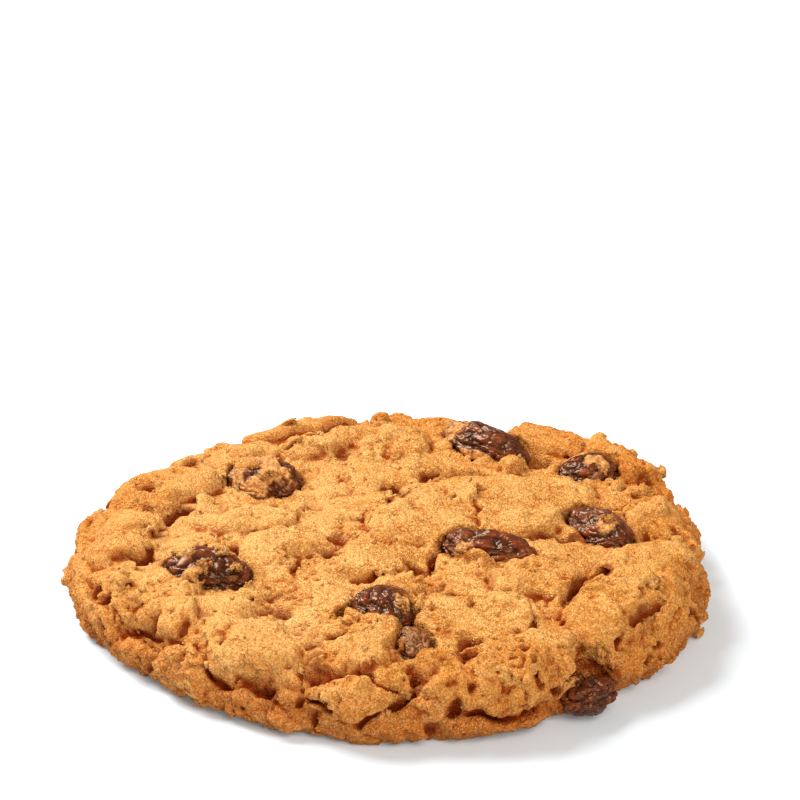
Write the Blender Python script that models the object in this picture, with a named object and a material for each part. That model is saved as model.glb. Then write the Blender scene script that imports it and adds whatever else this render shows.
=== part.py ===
"""Oatmeal raisin cookie: one baked body with ten raisins set into it.

The cookie lies flat, its underside centred on the origin and +Z up. Sizes are in
millimetres until the meshes are made, which are in metres.
"""

import itertools
import math
import random

import bmesh
import bpy
import numpy as np
from mathutils import Matrix, Vector, noise

MM = 0.001

# The body's overall sizes
RADIUS = 38.7
RIM_HEIGHT = 8.3
CENTRE_HEIGHT = 9.9

# The rim is a rounded edge: it reaches furthest out at its belly
BELLY_HEIGHT = 3.6
SHOULDER_WIDTH = 5.2
UNDERCUT_WIDTH = 2.6
ROUNDNESS = 2.3

# At the front right the edge curls up off the surface it was baked on
LIFT_DIRECTION = -52.0
LIFT_SPREAD = 19.0
LIFTED_BELLY = 0.9
LIFTED_UNDERCUT = 3.2

# The outline's departures from a circle: waves round it, size, direction of one crest
OUTLINE_WAVES = (
    (1, 0.22, -70.0),
    (2, 0.54, 18.0),
    (3, 1.03, 52.0),
    (4, 0.25, -11.0),
    (5, 0.43, -32.0),
    (6, 0.13, 27.0),
    (7, 0.17, -17.0),
    (8, 0.19, 2.0),
    (9, 0.22, 11.0),
    (10, 0.39, -16.0),
    (11, 0.19, -2.0),
    (12, 0.13, -14.0),
)

# The skin is laid out flat to place what is on it: past the edge, a place lies as far
# out from the middle as the skin runs on down the rim. Going out, the skin starts to
# turn down this far in from the outline, and has turned at the second distance.
SKIN_TURNS = (4.0, 0.8)

# Pillows of dough that rose: centre, half length and half width, turn, share of the rise
LOBE_RISE = 1.4
LOBE_STEEPNESS = 0.45
LOBES = (
    ((10.5, 4.5), (16.0, 8.8), 24.0, 1.2),
    ((29.4, -16.1), (13.5, 7.0), 62.0, 1.6),
    ((15.0, -34.0), (13.0, 6.0), 24.0, 1.4),
    ((14.6, -43.0), (8.0, 2.6), 18.0, 1.1),
    ((-0.8, -44.8), (7.5, 3.0), 0.0, 0.4),
    ((4.9, -34.9), (2.4, 1.8), 20.0, 1.0),
    ((4.7, -38.0), (2.6, 1.8), -10.0, 1.0),
    ((-5.2, -29.8), (9.0, 5.4), 18.0, 1.0),
    ((-5.5, -39.8), (6.4, 3.2), -8.0, 0.8),
    ((-21.8, -39.0), (9.0, 2.8), -28.0, 0.9),
    ((-27.6, -31.2), (6.0, 3.6), -42.0, 1.3),
    ((-16.3, -30.4), (7.0, 4.2), 12.0, 1.0),
    ((-39.6, -14.9), (6.2, 2.2), 110.0, 1.0),
    ((-32.9, 1.3), (4.6, 3.6), 20.0, 1.3),
    ((-34.0, -4.5), (5.0, 3.2), 30.0, 1.1),
    ((-29.0, -15.0), (8.0, 5.2), 62.0, 0.9),
    ((-25.9, -22.4), (2.4, 3.8), -10.0, 0.9),
    ((-29.3, 12.0), (8.5, 5.0), 30.0, 1.4),
    ((-21.5, 21.6), (7.0, 5.0), 38.0, 0.9),
    ((-9.5, 25.4), (6.5, 3.4), 18.0, 1.0),
    ((-12.6, 32.0), (8.0, 3.0), 22.0, 1.1),
    ((0.2, 14.6), (7.5, 4.6), 8.0, 1.1),
    ((-0.8, 26.2), (6.4, 4.2), 0.0, 0.8),
    ((-2.3, 33.6), (1.3, 1.1), 0.0, 0.9),
    ((20.4, 28.0), (6.2, 4.4), -30.0, 1.3),
    ((34.6, 19.6), (4.6, 3.4), -58.0, 1.3),
    ((40.4, 9.0), (3.4, 5.4), 0.0, 0.5),
    ((36.6, -21.4), (3.4, 6.0), -30.0, 0.5),
    ((-41.4, -2.6), (3.4, 11.0), 3.0, 0.9),
    ((40.0, -11.5), (3.4, 10.5), -13.0, 0.85),
    ((-34.7, -27.1), (9.0, 3.2), -52.0, 0.9),
    ((29.6, 21.4), (6.4, 5.0), -48.0, 1.3),
    ((32.4, 4.4), (5.6, 4.6), -70.0, 0.9),
    ((37.6, -0.5), (5.4, 2.8), 88.0, 1.1),
    ((33.0, -24.6), (7.0, 4.0), 50.0, 0.8),
    ((25.0, -31.0), (7.0, 4.0), 38.0, 0.8),
    ((-18.2, 2.3), (7.0, 3.2), 10.0, 0.9),
    ((-13.6, -5.2), (6.0, 4.2), 4.0, 0.8),
    ((-3.4, -10.2), (5.2, 3.6), 16.0, 0.8),
    ((17.6, -14.4), (6.4, 5.0), -8.0, 0.9),
    ((9.6, -22.8), (7.4, 5.6), -20.0, 0.7),
)

# Cracks: the places along each, width, depth
CRACK_TAPER = 1.15
CRACKS = (
    (((-32.2, 6.5), (-30.2, 5.0), (-28.5, 4.1), (-27.0, 5.7), (-25.0, 6.7)), 2.2, 2.4),
    (((-29.5, 14.4), (-25.7, 13.6)), 0.9, 0.8),
    (((-30.4, -2.8), (-30.4, -6.1), (-31.8, -7.3), (-33.7, -7.3), (-34.8, -7.9)), 1.5, 1.9),
    (((-15.1, 23.8), (-13.3, 24.1), (-11.4, 26.1), (-8.5, 29.1), (-6.6, 30.5)), 1.8, 1.8),
    (((-4.4, 19.8), (-2.9, 18.2), (-0.8, 18.8), (0.7, 20.4), (3.7, 21.1)), 1.5, 1.5),
    (((25.2, 6.1), (27.5, 7.3), (30.7, 8.3)), 1.8, 1.1),
    (((-5.1, 0.3), (-3.3, 2.3), (-1.4, 3.8), (0.1, 4.6), (1.1, 7.1), (3.0, 9.8)), 1.3, 1.4),
    (((3.0, 9.8), (4.0, 12.6), (5.9, 13.9)), 1.2, 1.2),
    (((9.1, 4.8), (9.5, 1.7), (9.2, -2.7)), 0.8, 0.6),
    (((6.6, -5.5), (4.6, -7.5), (3.5, -10.4), (1.7, -12.2), (-0.1, -12.2)), 1.6, 1.5),
    (((-6.2, -13.9), (-4.4, -13.8), (-1.6, -13.0)), 1.0, 1.0),
    (((14.2, -5.5), (15.1, -3.1), (16.2, -1.7), (18.4, -1.0), (21.6, -1.8), (23.6, -3.3)), 1.3, 1.3),
    (((25.7, -11.9), (24.3, -14.2), (23.0, -13.5), (21.7, -16.2), (22.0, -18.6), (21.0, -20.1)), 2.4, 2.4),
    (((35.0, 1.6), (35.1, -2.6), (35.9, -5.3), (36.6, -7.3)), 1.3, 1.3),
    (((-33.8, -21.0), (-31.0, -23.0), (-27.5, -25.4)), 1.3, 1.5),
    (((-35.1, -26.5), (-32.7, -26.8), (-30.7, -27.3)), 1.2, 1.2),
    (((-24.6, -23.4), (-25.1, -24.9), (-26.0, -25.8)), 1.3, 1.2),
    (((-7.1, -36.2), (-5.3, -35.9), (-3.7, -35.9), (-2.8, -37.2), (-1.6, -38.0), (1.4, -39.8)), 1.0, 1.5),
    (((-12.6, -41.0), (-11.4, -39.7), (-9.8, -39.8), (-8.7, -41.1), (-7.8, -41.8), (-6.6, -41.1)), 1.1, 1.4),
    (((2.0, -34.8), (2.2, -38.1), (1.7, -40.5), (0.5, -41.6), (-1.3, -42.2)), 1.9, 2.2),
    (((-1.3, -42.2), (-3.2, -42.9), (-4.9, -44.1), (-5.1, -45.1)), 1.5, 1.8),
    (((7.8, -42.2), (10.6, -41.6), (13.1, -41.1), (16.1, -40.8), (18.0, -40.0), (19.8, -39.3)), 1.0, 1.5),
    (((12.8, -33.7), (14.2, -33.2), (15.7, -34.0)), 1.1, 1.3),
    (((16.1, -34.8), (16.9, -36.0), (17.6, -36.7)), 1.0, 1.2),
    (((27.7, -25.5), (29.1, -23.4), (30.7, -21.3), (31.7, -20.4)), 1.0, 1.2),
    (((22.8, -29.2), (24.3, -29.8)), 0.9, 0.8),
    (((26.5, -26.9), (27.9, -28.9)), 0.9, 0.9),
    (((33.5, -24.3), (32.7, -26.2)), 0.9, 1.0),
    (((28.1, -30.3), (30.5, -32.0)), 1.1, 1.2),
    (((34.9, -14.4), (36.2, -17.0), (37.9, -16.9), (41.6, -15.1)), 1.1, 1.4),
    (((8.0, -18.9), (9.2, -21.3), (10.3, -23.0)), 0.7, 0.7),
    (((-37.4, -17.4), (-38.8, -18.5), (-41.0, -19.5)), 1.0, 1.2),
    (((-8.7, -26.6), (-6.0, -24.3), (-3.1, -23.3)), 0.8, 0.6),
    (((-7.7, -30.7), (-5.2, -28.5), (-2.8, -28.0)), 0.8, 0.6),
    (((-22.8, -31.1), (-23.0, -33.4), (-22.8, -34.9)), 1.0, 1.0),
    (((-20.5, -30.8), (-20.0, -28.6), (-18.9, -26.0)), 0.9, 0.8),
)

# Pits and hollows: centre, radius, depth
PIT_STEEPNESS = 0.7
PITS = (
    ((-31.7, 9.1), 1.3, 1.6),
    ((-22.7, -3.1), 1.0, 1.0),
    ((-19.8, -5.3), 1.2, 0.8),
    ((-36.3, -12.5), 1.6, 1.6),
    ((-35.8, -15.8), 1.0, 0.8),
    ((18.5, 21.0), 2.5, 2.8),
    ((31.2, 15.3), 1.8, 1.6),
    ((31.1, -1.6), 1.0, 1.0),
    ((-7.7, -8.5), 1.7, 2.4),
    ((-6.5, -3.6), 1.6, 0.9),
    ((-11.0, -11.6), 2.0, 1.2),
    ((1.9, -9.8), 1.7, 1.2),
    ((-6.3, -22.4), 1.1, 1.0),
    ((8.9, -29.2), 1.9, 1.2),
    ((22.3, -17.6), 1.6, 1.2),
    ((-15.4, -21.5), 3.4, 2.0),
    ((-20.1, -28.5), 1.0, 1.0),
    ((-22.5, -34.5), 1.1, 1.2),
    ((-17.0, -35.5), 3.2, 1.0),
    ((-8.5, -34.9), 3.4, 1.1),
    ((8.2, -33.6), 1.9, 1.5),
    ((5.5, -38.8), 0.9, 1.0),
    ((8.6, -38.2), 1.0, 1.1),
    ((7.1, -41.2), 1.1, 1.5),
    ((4.7, -45.0), 1.0, 1.2),
    ((12.4, -29.9), 0.9, 0.8),
    ((20.1, -23.1), 0.9, 0.6),
    ((21.1, -19.9), 1.2, 1.0),
    ((21.9, -27.9), 1.0, 0.8),
    ((20.0, -36.6), 1.0, 1.3),
    ((23.2, -32.3), 1.0, 1.1),
    ((32.1, -27.6), 1.1, 1.2),
    ((31.7, -16.7), 0.8, 0.6),
    ((32.9, -13.9), 0.8, 0.7),
    ((-8.3, -41.4), 0.9, 1.3),
    ((-10.4, -42.3), 0.8, 1.1),
    ((1.6, -31.2), 3.4, 2.0),
    ((1.4, -40.0), 1.6, 0.8),
)

# The rim's far side, which the lists above leave plain, has the same kinds of features by
# a rule: the directions it spans, how far out they lie on the laid-out skin
BACK_SEED = 5
BACK_SPAN = (12.0, 176.0)
BACK_REACH = (38.5, 44.5)
BACK_LOBES = 15
BACK_CRACKS = 13
BACK_CRACK_STEP = 0.022
BACK_PITS = 14

# Oat flakes that lie in the crust, scattered by a rule
OAT_SEED = 11
OAT_COUNT = 150
OAT_HALF_LENGTH = (1.6, 3.0)
OAT_NARROWNESS = 0.66
OAT_HEIGHT = (0.15, 0.4)

# The dough's own unevenness: size of the bumps, height
SWELLS = (11.0, 0.7)
BUMPS = (4.2, 0.34)
WANDER = (3.2, 0.7)

# Broken plates of crust: size across, rise, slope, gap between them
PLATE_SIZE = 5.6
PLATE_RISE = 0.16
PLATE_SLOPE = 0.06
PLATE_GAP = 0.12
PLATE_PUSH = 0.12
PLATE_EDGE = 0.16
PLATE_SEED = 91
PLATE_CELLS = 12

# Raisins: name, centre, half axes, turn about Z, tilt along their length
RAISINS = (
    ("raisin_back_left", (-16.7, 14.4, 9.2), (4.8, 5.4, 3.0), 20.0, 0.0),
    ("raisin_left", (-22.9, -11.3, 9.2), (5.7, 4.5, 2.9), -18.0, 0.0),
    ("raisin_back", (11.8, 25.4, 9.0), (6.9, 3.6, 2.9), -40.0, 4.0),
    ("raisin_back_right", (24.5, 18.2, 8.4), (4.1, 3.4, 2.7), 5.0, 0.0),
    ("raisin_right", (25.3, 0.4, 8.8), (6.2, 3.5, 2.9), -60.0, 0.0),
    ("raisin_centre", (11.3, -6.3, 9.8), (5.9, 3.2, 2.6), -12.0, 0.0),
    ("raisin_front", (-1.6, -21.8, 9.4), (3.7, 4.6, 3.0), 28.0, 0.0),
    ("raisin_front_sunk", (2.2, -29.2, 8.0), (2.4, 4.0, 2.4), 10.0, 0.0),
    ("raisin_rim", (22.6, -30.8, 2.9), (3.9, 3.3, 2.4), 38.0, 0.0),
    ("raisin_left_rim", (-37.0, 10.4, 5.3), (2.2, 2.6, 2.0), 0.0, 0.0),
)
RAISIN_ROUNDS = 3
RAISIN_FOLDS = 1.5
RAISIN_FOLD_DEPTH = 0.85
RAISIN_FOLD_SHARPNESS = 2.2
RAISIN_LUMP = 0.5
POCKET_GAP = 0.3

# Linear colours and dullness of the crust and of the raisins' skin
CRUST_COLOR = (0.62, 0.33, 0.12)
CRUST_ROUGHNESS = 0.8
RAISIN_COLOR = (0.045, 0.012, 0.008)
RAISIN_ROUGHNESS = 0.35

# Fineness of the body's surface
SEGMENTS = 300
TOP_RINGS = 84
SHOULDER_RINGS = 14
UNDERCUT_RINGS = 8
BASE_RINGS = 10
BODY_TRIANGLES = 6900


def noise_at(x, y, size, layer):
    """Smooth noise between about -1 and 1 at each point, in bumps of a given size."""
    samples = zip(x.ravel() / size, y.ravel() / size)
    values = [noise.noise((u, v, layer)) for u, v in samples]
    return np.array(values).reshape(x.shape)


def lifted(theta):
    """How far the edge is curled up in a direction, from 0 to 1."""
    turn = np.degrees(theta) - LIFT_DIRECTION
    turn = (turn + 180.0) % 360.0 - 180.0
    return np.exp(-(turn / LIFT_SPREAD) ** 2)


def outline_radius(theta):
    """The cookie's reach in a direction."""
    reach = np.full_like(theta, RADIUS)
    for waves, size, crest in OUTLINE_WAVES:
        reach = reach + size * np.cos(waves * (theta - math.radians(crest)))
    return reach


def lobe_height(x, y, centre, half, turn, height):
    """A pillow of dough: nearly flat on top and steep at its edge."""
    cosine, sine = math.cos(math.radians(turn)), math.sin(math.radians(turn))
    along = ((x - centre[0]) * cosine + (y - centre[1]) * sine) / half[0]
    across = ((y - centre[1]) * cosine - (x - centre[0]) * sine) / half[1]
    inside = np.clip(1.0 - (along ** 2 + across ** 2) ** 2, 0.0, 1.0)
    return height * inside ** LOBE_STEEPNESS


def crack_depth(x, y, line, width, depth):
    """A crack along a broken line, tapering to both ends."""
    lengths = [math.dist(start, end) for start, end in zip(line, line[1:])]
    total, done = sum(lengths), 0.0
    sunk = np.zeros_like(x)
    for (start, end), length in zip(zip(line, line[1:]), lengths):
        run_x, run_y = (end[0] - start[0]) / length, (end[1] - start[1]) / length
        along = np.clip((x - start[0]) * run_x + (y - start[1]) * run_y, 0.0, length)
        away = np.hypot(x - start[0] - along * run_x, y - start[1] - along * run_y)
        share = (done + along) / total
        taper = np.clip(CRACK_TAPER - (2.0 * share - 1.0) ** 4, 0.0, 1.0)
        wall = np.clip(1.0 - (away / (0.5 * width * taper)) ** 2, 0.0, 1.0)
        sunk = np.maximum(sunk, depth * taper * wall)
        done += length
    return sunk


def pit_depth(x, y, centre, radius, depth):
    """A round hollow with soft sides."""
    away = ((x - centre[0]) ** 2 + (y - centre[1]) ** 2) / radius ** 2
    return depth * np.clip(1.0 - away, 0.0, 1.0) ** PIT_STEEPNESS


def around_back(draw, share):
    """A place on the far rim at a share of its span: its direction in degrees, and itself."""
    turn = BACK_SPAN[0] + (BACK_SPAN[1] - BACK_SPAN[0]) * share
    distance = draw.uniform(*BACK_REACH)
    return turn, (distance * math.cos(math.radians(turn)), distance * math.sin(math.radians(turn)))


def back_rim():
    """The lobes, cracks and pits of the rim's far side."""
    draw = random.Random(BACK_SEED)
    lobes, cracks, pits = [], [], []
    for step in range(BACK_LOBES):
        turn, centre = around_back(draw, (step + draw.random()) / BACK_LOBES)
        half = (draw.uniform(3.0, 6.5), draw.uniform(1.8, 3.2))
        lobes.append((centre, half, turn + 90.0 + draw.gauss(0.0, 20.0), draw.uniform(0.4, 0.9)))
    for step in range(BACK_CRACKS):
        start = (step + draw.random()) / BACK_CRACKS
        line = [around_back(draw, start + BACK_CRACK_STEP * place)[1] for place in range(4)]
        middle = [0.5 * (line[0][axis] + line[-1][axis]) for axis in range(2)]
        line = [tuple(0.5 * (point[axis] + middle[axis]) for axis in range(2)) for point in line]
        cracks.append((tuple(line), draw.uniform(0.9, 1.6), draw.uniform(0.9, 1.6)))
    for _ in range(BACK_PITS):
        centre = around_back(draw, draw.random())[1]
        pits.append((centre, draw.uniform(0.8, 1.8), draw.uniform(0.6, 1.4)))
    return lobes, cracks, pits


def oat_flakes():
    """The places, sizes, turns and heights of the oat flakes in the crust."""
    draw = random.Random(OAT_SEED)
    flakes = []
    for _ in range(OAT_COUNT):
        distance = (RADIUS + 0.5) * math.sqrt(draw.random())
        direction = draw.uniform(0.0, 2.0 * math.pi)
        centre = (distance * math.cos(direction), distance * math.sin(direction))
        half_length = draw.uniform(*OAT_HALF_LENGTH)
        half = (half_length, half_length * OAT_NARROWNESS)
        flakes.append((centre, half, draw.uniform(0.0, 180.0), draw.uniform(*OAT_HEIGHT)))
    return flakes


def smooth_step(value, low, high):
    """0 below low, 1 above high, and a soft rise between."""
    share = np.clip((value - low) / (high - low), 0.0, 1.0)
    return share * share * (3.0 - 2.0 * share)


def plate_height(x, y):
    """Plates of crust side by side, each at its own height and slope, sunk where they part."""
    draw = np.random.default_rng(PLATE_SEED)
    shift = draw.random((2 * PLATE_CELLS, 2 * PLATE_CELLS, 2))
    lie = draw.normal(0.0, 1.0, (2 * PLATE_CELLS, 2 * PLATE_CELLS, 3))
    column = np.floor(x / PLATE_SIZE).astype(int) + PLATE_CELLS
    row = np.floor(y / PLATE_SIZE).astype(int) + PLATE_CELLS
    nearest = np.full_like(x, PLATE_CELLS * PLATE_SIZE)
    second = nearest.copy()
    height = np.zeros_like(x)
    for step_x, step_y in itertools.product((-1, 0, 1), repeat=2):
        i = np.clip(column + step_x, 0, 2 * PLATE_CELLS - 1)
        j = np.clip(row + step_y, 0, 2 * PLATE_CELLS - 1)
        aside = x - (i - PLATE_CELLS + shift[i, j, 0]) * PLATE_SIZE
        back = y - (j - PLATE_CELLS + shift[i, j, 1]) * PLATE_SIZE
        away = np.hypot(aside, back) + PLATE_PUSH * PLATE_SIZE * lie[i, j, 0]
        closer = away < nearest
        second = np.where(closer, nearest, np.minimum(second, away))
        nearest = np.where(closer, away, nearest)
        level = PLATE_RISE * lie[i, j, 0] + PLATE_SLOPE * (lie[i, j, 1] * aside + lie[i, j, 2] * back)
        height = np.where(closer, level, height)
    return height - PLATE_GAP * (1.0 - smooth_step(second - nearest, 0.0, PLATE_EDGE * PLATE_SIZE))


def relief(x, y):
    """How far the crust stands out from the smooth body, at places on the laid-out skin."""
    wander_size, wander_reach = WANDER
    warped_x = x + wander_reach * noise_at(x, y, wander_size, 3.5)
    warped_y = y + wander_reach * noise_at(x, y, wander_size, 8.5)
    back_lobes, back_cracks, back_pits = back_rim()
    raised = np.zeros_like(x)
    for lobe in (*LOBES, *back_lobes):
        raised = np.maximum(raised, lobe_height(warped_x, warped_y, *lobe))
    flaked = np.zeros_like(x)
    for flake in oat_flakes():
        flaked = np.maximum(flaked, lobe_height(warped_x, warped_y, *flake))
    sunk = np.zeros_like(x)
    for crack in (*CRACKS, *back_cracks):
        sunk = np.maximum(sunk, crack_depth(warped_x, warped_y, *crack))
    for pit in (*PITS, *back_pits):
        sunk = np.maximum(sunk, pit_depth(warped_x, warped_y, *pit))
    uneven = plate_height(warped_x, warped_y)
    for layer, (size, height) in enumerate((SWELLS, BUMPS)):
        uneven = uneven + height * noise_at(x, y, size, 20.5 + layer)
    return LOBE_RISE * raised + flaked + uneven - sunk


def dome_height(x, y):
    """The smooth body's height above its base at a place on its top."""
    return RIM_HEIGHT + (CENTRE_HEIGHT - RIM_HEIGHT) * (1.0 - (x * x + y * y) / RADIUS ** 2)


def laid_out(x, y, z, reach, inward):
    """Where a point of the smooth body lies on the laid-out skin."""
    starts, ends = SKIN_TURNS
    down = np.maximum(dome_height(x, y) - z, 0.0) * smooth_step(-inward, -starts, -ends)
    radius = np.maximum(np.hypot(x, y), 0.01)
    stretch = (np.minimum(radius, reach) + down) / radius
    return x * stretch, y * stretch


def body_rings():
    """The rings of the body's skin, from the top's centre over the rim to the base's."""
    theta = np.arange(SEGMENTS) * 2.0 * math.pi / SEGMENTS
    reach = outline_radius(theta)
    lift = lifted(theta)
    level = BELLY_HEIGHT + LIFTED_BELLY * lift
    undercut = UNDERCUT_WIDTH + LIFTED_UNDERCUT * lift
    power = 2.0 / ROUNDNESS
    rings = []

    def add_ring(inward, out_share, height_share, width, standing, strength):
        x = (reach - inward) * np.cos(theta)
        y = (reach - inward) * np.sin(theta)
        half = dome_height(x, y) - level if standing else level
        z = level + half * height_share
        facing_out = out_share ** (ROUNDNESS - 1.0) / width
        facing_up = abs(height_share) ** (ROUNDNESS - 1.0) / half
        size = np.hypot(facing_out, facing_up)
        shift = relief(*laid_out(x, y, z, reach, inward)) * strength
        x = x + shift * facing_out / size * np.cos(theta)
        y = y + shift * facing_out / size * np.sin(theta)
        z = z + shift * facing_up / size * math.copysign(1.0, height_share)
        z = np.maximum(z, 0.0)
        rings.append(np.stack([x, y, z], axis=1))

    for ring in range(1, TOP_RINGS + 1):
        share = ring / TOP_RINGS
        inward = reach - share * (reach - SHOULDER_WIDTH)
        add_ring(inward, 0.0, 1.0, SHOULDER_WIDTH, True, 1.0)
    for ring in range(1, SHOULDER_RINGS + 1):
        angle = 0.5 * math.pi * ring / SHOULDER_RINGS
        out_share, height_share = math.sin(angle) ** power, math.cos(angle) ** power
        inward = SHOULDER_WIDTH * (1.0 - out_share)
        add_ring(inward, out_share, height_share, SHOULDER_WIDTH, True, 1.0)
    for ring in range(1, UNDERCUT_RINGS + 1):
        angle = 0.5 * math.pi * ring / UNDERCUT_RINGS
        out_share, height_share = math.cos(angle) ** power, math.sin(angle) ** power
        inward = undercut * (1.0 - out_share)
        strength = 1.0 - height_share ** 2
        add_ring(inward, out_share, -height_share, undercut, False, strength)
    for ring in range(1, BASE_RINGS):
        share = 1.0 - ring / BASE_RINGS
        inward = reach - share * (reach - undercut)
        add_ring(inward, 0.0, -1.0, undercut, False, 0.0)
    return rings


def mesh_object(name, mesh, material):
    """An object for a mesh, shaded smooth, in its material."""
    mesh.shade_smooth()
    mesh.materials.append(material)
    thing = bpy.data.objects.new(name, mesh)
    bpy.context.scene.collection.objects.link(thing)
    return thing


def decimate(thing, triangles):
    """Thin a mesh out to about so many triangles, keeping its form."""
    count = sum(len(face.vertices) - 2 for face in thing.data.polygons)
    thinner = thing.modifiers.new("thinner", "DECIMATE")
    thinner.decimate_type = "COLLAPSE"
    thinner.ratio = min(1.0, triangles / count)
    thinner.use_collapse_triangulate = True


def make_body(material):
    """The baked body, closed over its top, rim and base."""
    rings = body_rings()
    top = relief(np.zeros(1), np.zeros(1))[0] + CENTRE_HEIGHT
    points = [(0.0, 0.0, top)]
    for ring in rings:
        points.extend(ring.tolist())
    points.append((0.0, 0.0, 0.0))
    faces = []
    for this in range(SEGMENTS):
        after = (this + 1) % SEGMENTS
        faces.append((0, 1 + this, 1 + after))
        for ring in range(len(rings) - 1):
            inner, outer = 1 + ring * SEGMENTS, 1 + (ring + 1) * SEGMENTS
            faces.append((inner + this, outer + this, outer + after, inner + after))
        last = 1 + (len(rings) - 1) * SEGMENTS
        faces.append((last + this, len(points) - 1, last + after))
    mesh = bpy.data.meshes.new("cookie")
    mesh.from_pydata((np.array(points) * MM).tolist(), [], faces)
    body = mesh_object("cookie", mesh, material)
    decimate(body, BODY_TRIANGLES)
    return body


def raisin_fold(direction, seed):
    """How far a raisin's skin lies inside its ellipsoid at a direction."""
    place = direction * RAISIN_FOLDS + Vector((3.1, 1.7, 5.3)) * seed
    fold = max(0.0, 1.0 - RAISIN_FOLD_SHARPNESS * abs(noise.noise(place))) ** 1.5
    lump = noise.noise(direction * 0.9 - place)
    return RAISIN_FOLD_DEPTH * fold + RAISIN_LUMP * lump


def make_raisin(name, seed, centre, half, turn, tilt, grown, material):
    """A wrinkled raisin or, where it is grown, the pocket that it sits in."""
    ball = bmesh.new()
    bmesh.ops.create_icosphere(ball, subdivisions=RAISIN_ROUNDS, radius=1.0)
    turned = Matrix.Rotation(math.radians(turn), 3, "Z") @ Matrix.Rotation(math.radians(tilt), 3, "Y")
    axes = Matrix.Diagonal(half)
    for corner in ball.verts:
        direction = corner.co.normalized()
        inward = raisin_fold(direction, seed) - grown
        facing = Vector([direction[axis] / half[axis] for axis in range(3)]).normalized()
        place = turned @ (axes @ direction - inward * facing) + Vector(centre)
        corner.co = place * MM
    mesh = bpy.data.meshes.new(name)
    ball.to_mesh(mesh)
    ball.free()
    return mesh_object(name, mesh, material)


def cut_pocket(body, cutter):
    """Cut a raisin's pocket out of the body, and leave the cutter as a guide."""
    cutter.hide_render = True
    cutter.display_type = "WIRE"
    pocket = body.modifiers.new(cutter.name, "BOOLEAN")
    pocket.operation = "DIFFERENCE"
    pocket.solver = "EXACT"
    pocket.object = cutter


def food_material(name, color, roughness):
    """A plain material in a linear colour."""
    material = bpy.data.materials.new(name)
    material.use_nodes = True
    shader = material.node_tree.nodes["Principled BSDF"]
    shader.inputs["Base Color"].default_value = (*color, 1.0)
    shader.inputs["Roughness"].default_value = roughness
    shader.inputs["Metallic"].default_value = 0.0
    return material


def build_cookie():
    """The whole cookie: its body, and the raisins in their pockets."""
    for old in list(bpy.data.objects):
        bpy.data.objects.remove(old)
    crust = food_material("crust", CRUST_COLOR, CRUST_ROUGHNESS)
    skin = food_material("raisin_skin", RAISIN_COLOR, RAISIN_ROUGHNESS)
    body = make_body(crust)
    for seed, (name, centre, half, turn, tilt) in enumerate(RAISINS, start=1):
        make_raisin(name, seed, centre, half, turn, tilt, 0.0, skin)
        cutter = make_raisin("pocket_of_" + name, seed, centre, half, turn, tilt, POCKET_GAP, crust)
        cut_pocket(body, cutter)


build_cookie()
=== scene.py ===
import itertools
import math
import random

import bmesh
import bpy
import numpy as np
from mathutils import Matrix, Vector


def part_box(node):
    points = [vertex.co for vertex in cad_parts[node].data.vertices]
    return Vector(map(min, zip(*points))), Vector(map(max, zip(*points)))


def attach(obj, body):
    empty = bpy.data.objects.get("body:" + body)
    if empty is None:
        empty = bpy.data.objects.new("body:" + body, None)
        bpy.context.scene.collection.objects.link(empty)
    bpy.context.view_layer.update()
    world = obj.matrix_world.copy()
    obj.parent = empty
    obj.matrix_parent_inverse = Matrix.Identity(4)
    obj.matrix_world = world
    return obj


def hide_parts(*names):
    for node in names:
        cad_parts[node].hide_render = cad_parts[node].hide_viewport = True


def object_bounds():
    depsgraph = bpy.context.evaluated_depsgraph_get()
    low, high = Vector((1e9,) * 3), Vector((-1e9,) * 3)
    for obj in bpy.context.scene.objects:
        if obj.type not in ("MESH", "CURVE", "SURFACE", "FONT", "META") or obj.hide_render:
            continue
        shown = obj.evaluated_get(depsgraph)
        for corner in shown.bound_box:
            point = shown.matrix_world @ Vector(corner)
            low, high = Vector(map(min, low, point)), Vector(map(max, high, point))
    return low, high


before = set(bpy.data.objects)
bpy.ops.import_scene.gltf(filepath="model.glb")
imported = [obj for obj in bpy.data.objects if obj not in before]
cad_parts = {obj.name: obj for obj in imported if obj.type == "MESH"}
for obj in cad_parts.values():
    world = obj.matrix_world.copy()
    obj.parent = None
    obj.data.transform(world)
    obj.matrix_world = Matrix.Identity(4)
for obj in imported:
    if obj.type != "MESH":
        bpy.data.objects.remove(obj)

import openvdb
from mathutils import Matrix, Vector, noise

CAD_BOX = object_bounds()
MM = 0.001
CAD_LOW, CAD_HIGH = np.array(CAD_BOX[0]) / MM, np.array(CAD_BOX[1]) / MM

# The body's form, in millimetres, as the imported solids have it
RADIUS = 38.7
RIM_HEIGHT = 8.3
CENTRE_HEIGHT = 9.9
BELLY_HEIGHT = 3.6
SHOULDER_WIDTH = 5.2
UNDERCUT_WIDTH = 2.6
ROUNDNESS = 2.3
LIFT_DIRECTION = -52.0
LIFT_SPREAD = 19.0
LIFTED_BELLY = 0.9
LIFTED_UNDERCUT = 3.2

# Waves round the outline: how many, size, direction of one crest
OUTLINE_WAVES = (
    (1, 0.22, -70.0),
    (2, 0.54, 18.0),
    (3, 1.03, 52.0),
    (4, 0.25, -11.0),
    (5, 0.43, -32.0),
    (6, 0.13, 27.0),
    (7, 0.17, -17.0),
    (8, 0.19, 2.0),
    (9, 0.22, 11.0),
    (10, 0.39, -16.0),
    (11, 0.19, -2.0),
    (12, 0.13, -14.0),
)

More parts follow.
